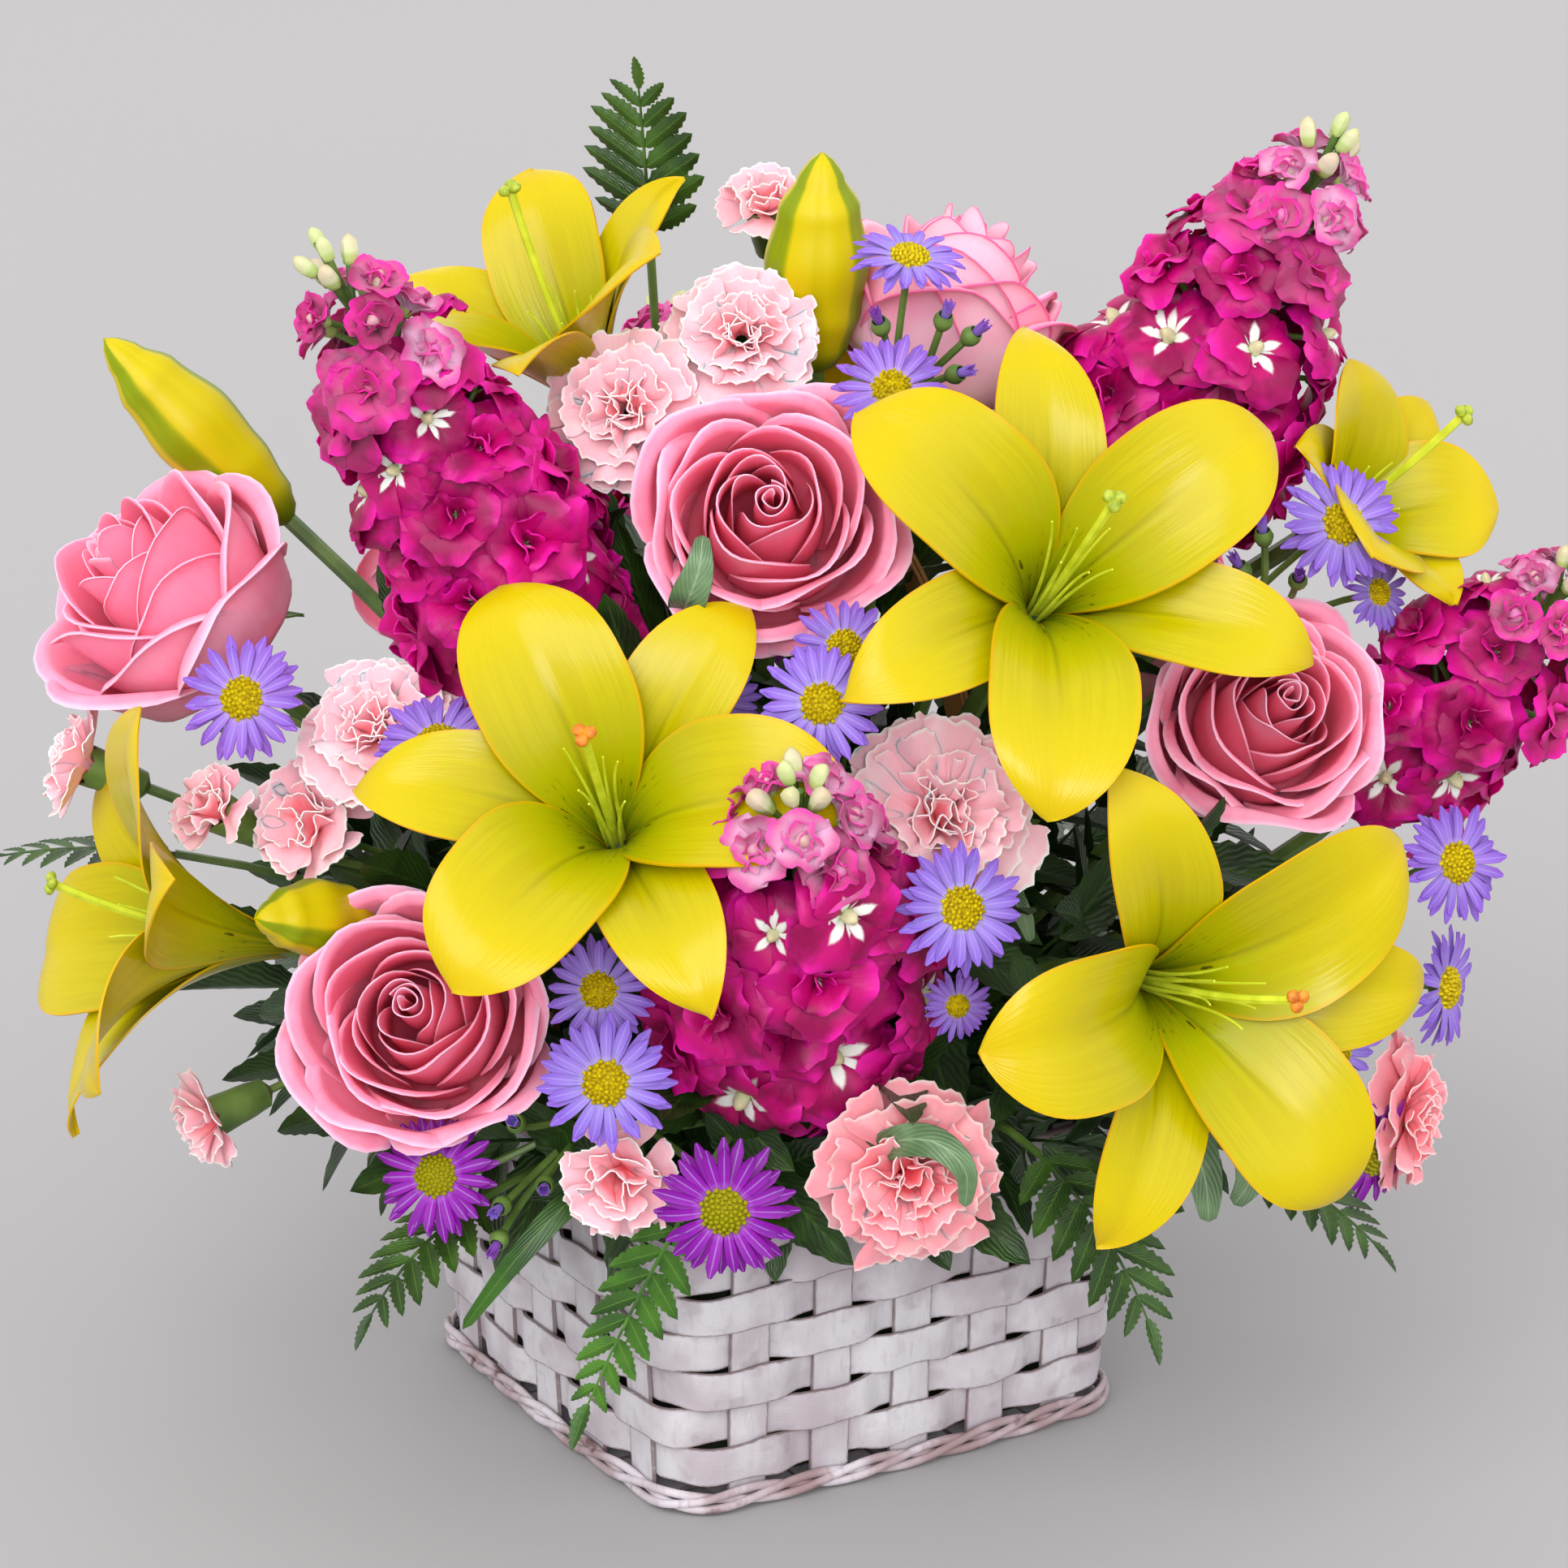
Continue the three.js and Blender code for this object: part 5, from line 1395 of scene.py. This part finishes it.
def frond(length, width, pairs, droop, skin, slim):
    """A frond along +Z from the origin that bends towards -Y, as its solid does."""
    bend = math.radians(droop)
    outline = [(0, 0.80), (0.2, 1.05), (0.5, 0.92), (0.8, 0.55), (1, 0.3)]

    def rib(share):
        """A point of the rib, the way that it runs there, and the frond's upper side."""
        lean = bend * share
        spot = Vector((0, -length * (1 - math.cos(lean)) / bend, length * math.sin(lean) / bend))
        return spot, Vector((0, -math.sin(lean), math.cos(lean))), Vector((0, math.cos(lean), math.sin(lean)))
    end_way, end_face = rib(1)[1:]
    parts = [stalk(-2 * UP, 0.4 * length * UP, rib(0.97)[0], end_way * length * 0.3, 0.8, skin, taper=0.4)]
    model = leaflet(MODEL_LEAF, MODEL_LEAF * slim, 0.24, skin)
    for k in range(pairs):
        share = 0.06 + 0.84 * k / pairs
        centre, upwards, face = rib(share)
        size = width / 2 * between(outline, share)
        angle = math.radians(62 - 22 * share)
        for side in (-1, 1):
            way = Vector((side * math.sin(angle), 0, 0)) + upwards * math.cos(angle)
            parts.append(copied(model, leaf_spot(centre, way, face, size)))
    parts.append(copied(model, leaf_spot(rib(0.88)[0], end_way, end_face, length * 0.2)))
    put_away(model)
    return parts


for name, plant in FERNS.items():
    bright = name == "fern_hanging"
    pairs, slim, skin = (8, 0.46, bright_fern_leaf) if bright else (7, 0.40, fern_leaf)
    parts = frond(plant["length"], plant["width"], pairs, plant["droop"], skin, slim)
    planted(parts, name, plant, plant.get("roll", 0), 1.4, "frond", "leaf")

# Filler leaves: short sprigs of dark leaves, tucked into the foam between the flowers, that
# close the gaps and hide the stems.
filler_leaf = leaf_finish("filler_leaf", tint(0.08, 0.17, 0.04), tint(0.18, 0.31, 0.09),
                          tint(0.26, 0.40, 0.14))
# The handle shows between the flowers at these two places, in mm, so no leaf stands before it.
HANDLE_SHOWS = (Vector((45, 22, 276)), Vector((61, 33, 220)))
GAP_RADIUS = 38
TOWARDS_FRONT = Vector((-0.03, -0.96, 0.28))


def hides_handle(place):
    for shows in HANDLE_SHOWS:
        apart = place - shows
        ahead = apart.dot(TOWARDS_FRONT)
        if ahead > -6 and (apart - TOWARDS_FRONT * ahead).length < GAP_RADIUS:
            return True
    return False


# No leaf grows through a rose or a carnation either: (middle, radius) of the room each takes.
bloom_rooms = []
for plant in ROSES.values():
    size = plant.get("radius", 44)
    bloom_rooms.append((Vector(plant["at"]) + way_to(*plant["faces"]) * 0.6 * size, 0.85 * size))
for heads in CARNATIONS.values():
    for at, faces, size in heads:
        bloom_rooms.append((Vector(at) + way_to(*faces) * (18 + 0.4 * size), 0.9 * size))


def in_a_bloom(leaf_foot, leaf_tip):
    for middle, room in bloom_rooms:
        for share in (0.2, 0.6, 1):
            if (leaf_foot.lerp(leaf_tip, share) - middle).length < room:
                return True
    return False


def sprig(azimuth, height, reach, seed):
    """Nine leaves wound round a thin stalk; the last of them is its tip."""
    loose = random.Random(seed)
    out = way_to(azimuth, height)
    foot = 96 * UP + Vector((out.x * 42, out.y * 42, out.z * 18))
    tip = 110 * UP + Vector((out.x * reach[0], out.y * reach[1], out.z * reach[2]))
    leaves = []
    model = leaflet(MODEL_LEAF, MODEL_LEAF * 0.46, 0.12, filler_leaf)
    for k in range(9):
        centre = foot.lerp(tip, 0.34 + 0.66 * k / 8)
        wound = Matrix.Rotation(math.radians(GOLDEN_TURN * k + loose.uniform(-20, 20)), 3, out)
        side = wound @ out.orthogonal().normalized()
        way = (side * (1 if k < 8 else 0.1) + out * loose.uniform(0.5, 1.1)).normalized()
        face = (out - way * out.dot(way))
        face = face.normalized() if face.length > 0.05 else way.orthogonal().normalized()
        size = loose.uniform(30, 48)
        if hides_handle(centre + way * size / 2) or in_a_bloom(centre, centre + way * size):
            continue
        leaves.append(copied(model, leaf_spot(centre, way, face, size)))
        end = centre
    put_away(model)
    if not leaves:
        return []
    return leaves + [stalk(foot, out * 20, end, out * 20, 1.1, filler_leaf, taper=0.4)]


# Round each row of sprigs: its height above level, how many there are, and how far they reach.
SPRIG_ROWS = ((4, 18, (150, 118, 120)), (16, 17, (165, 125, 150)), (32, 15, (172, 125, 165)),
              (50, 12, (170, 118, 190)), (70, 8, (160, 112, 212)), (44, 14, (128, 92, 150)),
              (62, 9, (118, 92, 178)))
for count, (height, number, reach) in enumerate(SPRIG_ROWS):
    parts = []
    for k in range(number):
        parts += sprig(360 * k / number + 13 * count, height, reach, 300 + 20 * count + k)
    finished(parts, f"filler_sprigs_{count + 1}", "leaf")

# Loose leaves: a long grass blade that hangs over the basket's rim, and the narrow grey-green
# leaves of the stock, which curl out between the flowers.
grass_blade = leaf_finish("grass_blade", tint(0.10, 0.24, 0.04), tint(0.20, 0.38, 0.08),
                          tint(0.36, 0.50, 0.18))
grey_leaf = leaf_finish("grey_leaf", tint(0.28, 0.40, 0.24), tint(0.44, 0.56, 0.40), tint(0.58, 0.68, 0.52))


def blade(spots, width, skin):
    """A long leaf through four places, in mm, its face to the front; its stalk starts in the foam."""
    spots = [Vector(spot) for spot in spots]

    def line(v):
        place = v * (len(spots) - 1)
        i = min(int(place), len(spots) - 2)
        t = place - i
        before, after = spots[max(i - 1, 0)], spots[min(i + 2, len(spots) - 1)]
        a, b = spots[i], spots[i + 1]
        return 0.5 * (2 * a + (b - before) * t + (2 * before - 5 * a + 4 * b - after) * t * t
                      + (3 * a - before - 3 * b + after) * t ** 3)

    def shape(u, v):
        way = (line(min(v + 0.02, 1)) - line(max(v - 0.02, 0))).normalized()
        side = way.cross(Vector((0, -1, 0.3))).normalized()
        half = width / 2 * (0.30 + 0.70 * math.sin(math.pi * min(0.12 + v * 0.88, 1) ** 0.8))
        half *= 1 if v < 1 else 0.05
        return line(v) + side * half * u + side.cross(way) * half * 0.35 * abs(u)
    root = Vector((spots[0].x * 0.3, spots[0].y * 0.3, 125))
    away = (spots[0] - root) * 0.35
    leaving = (spots[1] - spots[0]) * 0.3
    return [wearing(sheet(4, 18, shape, 0.5), skin), stalk(root, away, spots[0], leaving, 0.9, skin)]


LEAVES = (
    (((-52, -128, 122), (-62, -138, 119), (-77, -145, 104), (-94, -141, 79)), 8, grass_blade),
    (((-26, -104, 296), (-24, -112, 303), (-21, -113, 312), (-20, -109, 321)), 11, grey_leaf),
    (((30, -138, 136), (40, -152, 146), (50, -158, 147), (58, -160, 139), (58, -156, 126)), 10, grey_leaf),
    (((128, -92, 138), (130, -104, 128), (134, -110, 114), (135, -112, 102)), 13, grey_leaf),
    (((140, -90, 136), (148, -101, 126), (148, -106, 114), (143, -108, 106)), 12, grey_leaf),
    (((70, -96, 212), (73, -102, 206), (77, -105, 199), (79, -106, 192)), 7, grey_leaf),
)
loose_leaves = []
for spots, width, skin in LEAVES:
    loose_leaves += blade(spots, width, skin)
finished(loose_leaves, "loose_leaves", "leaf")
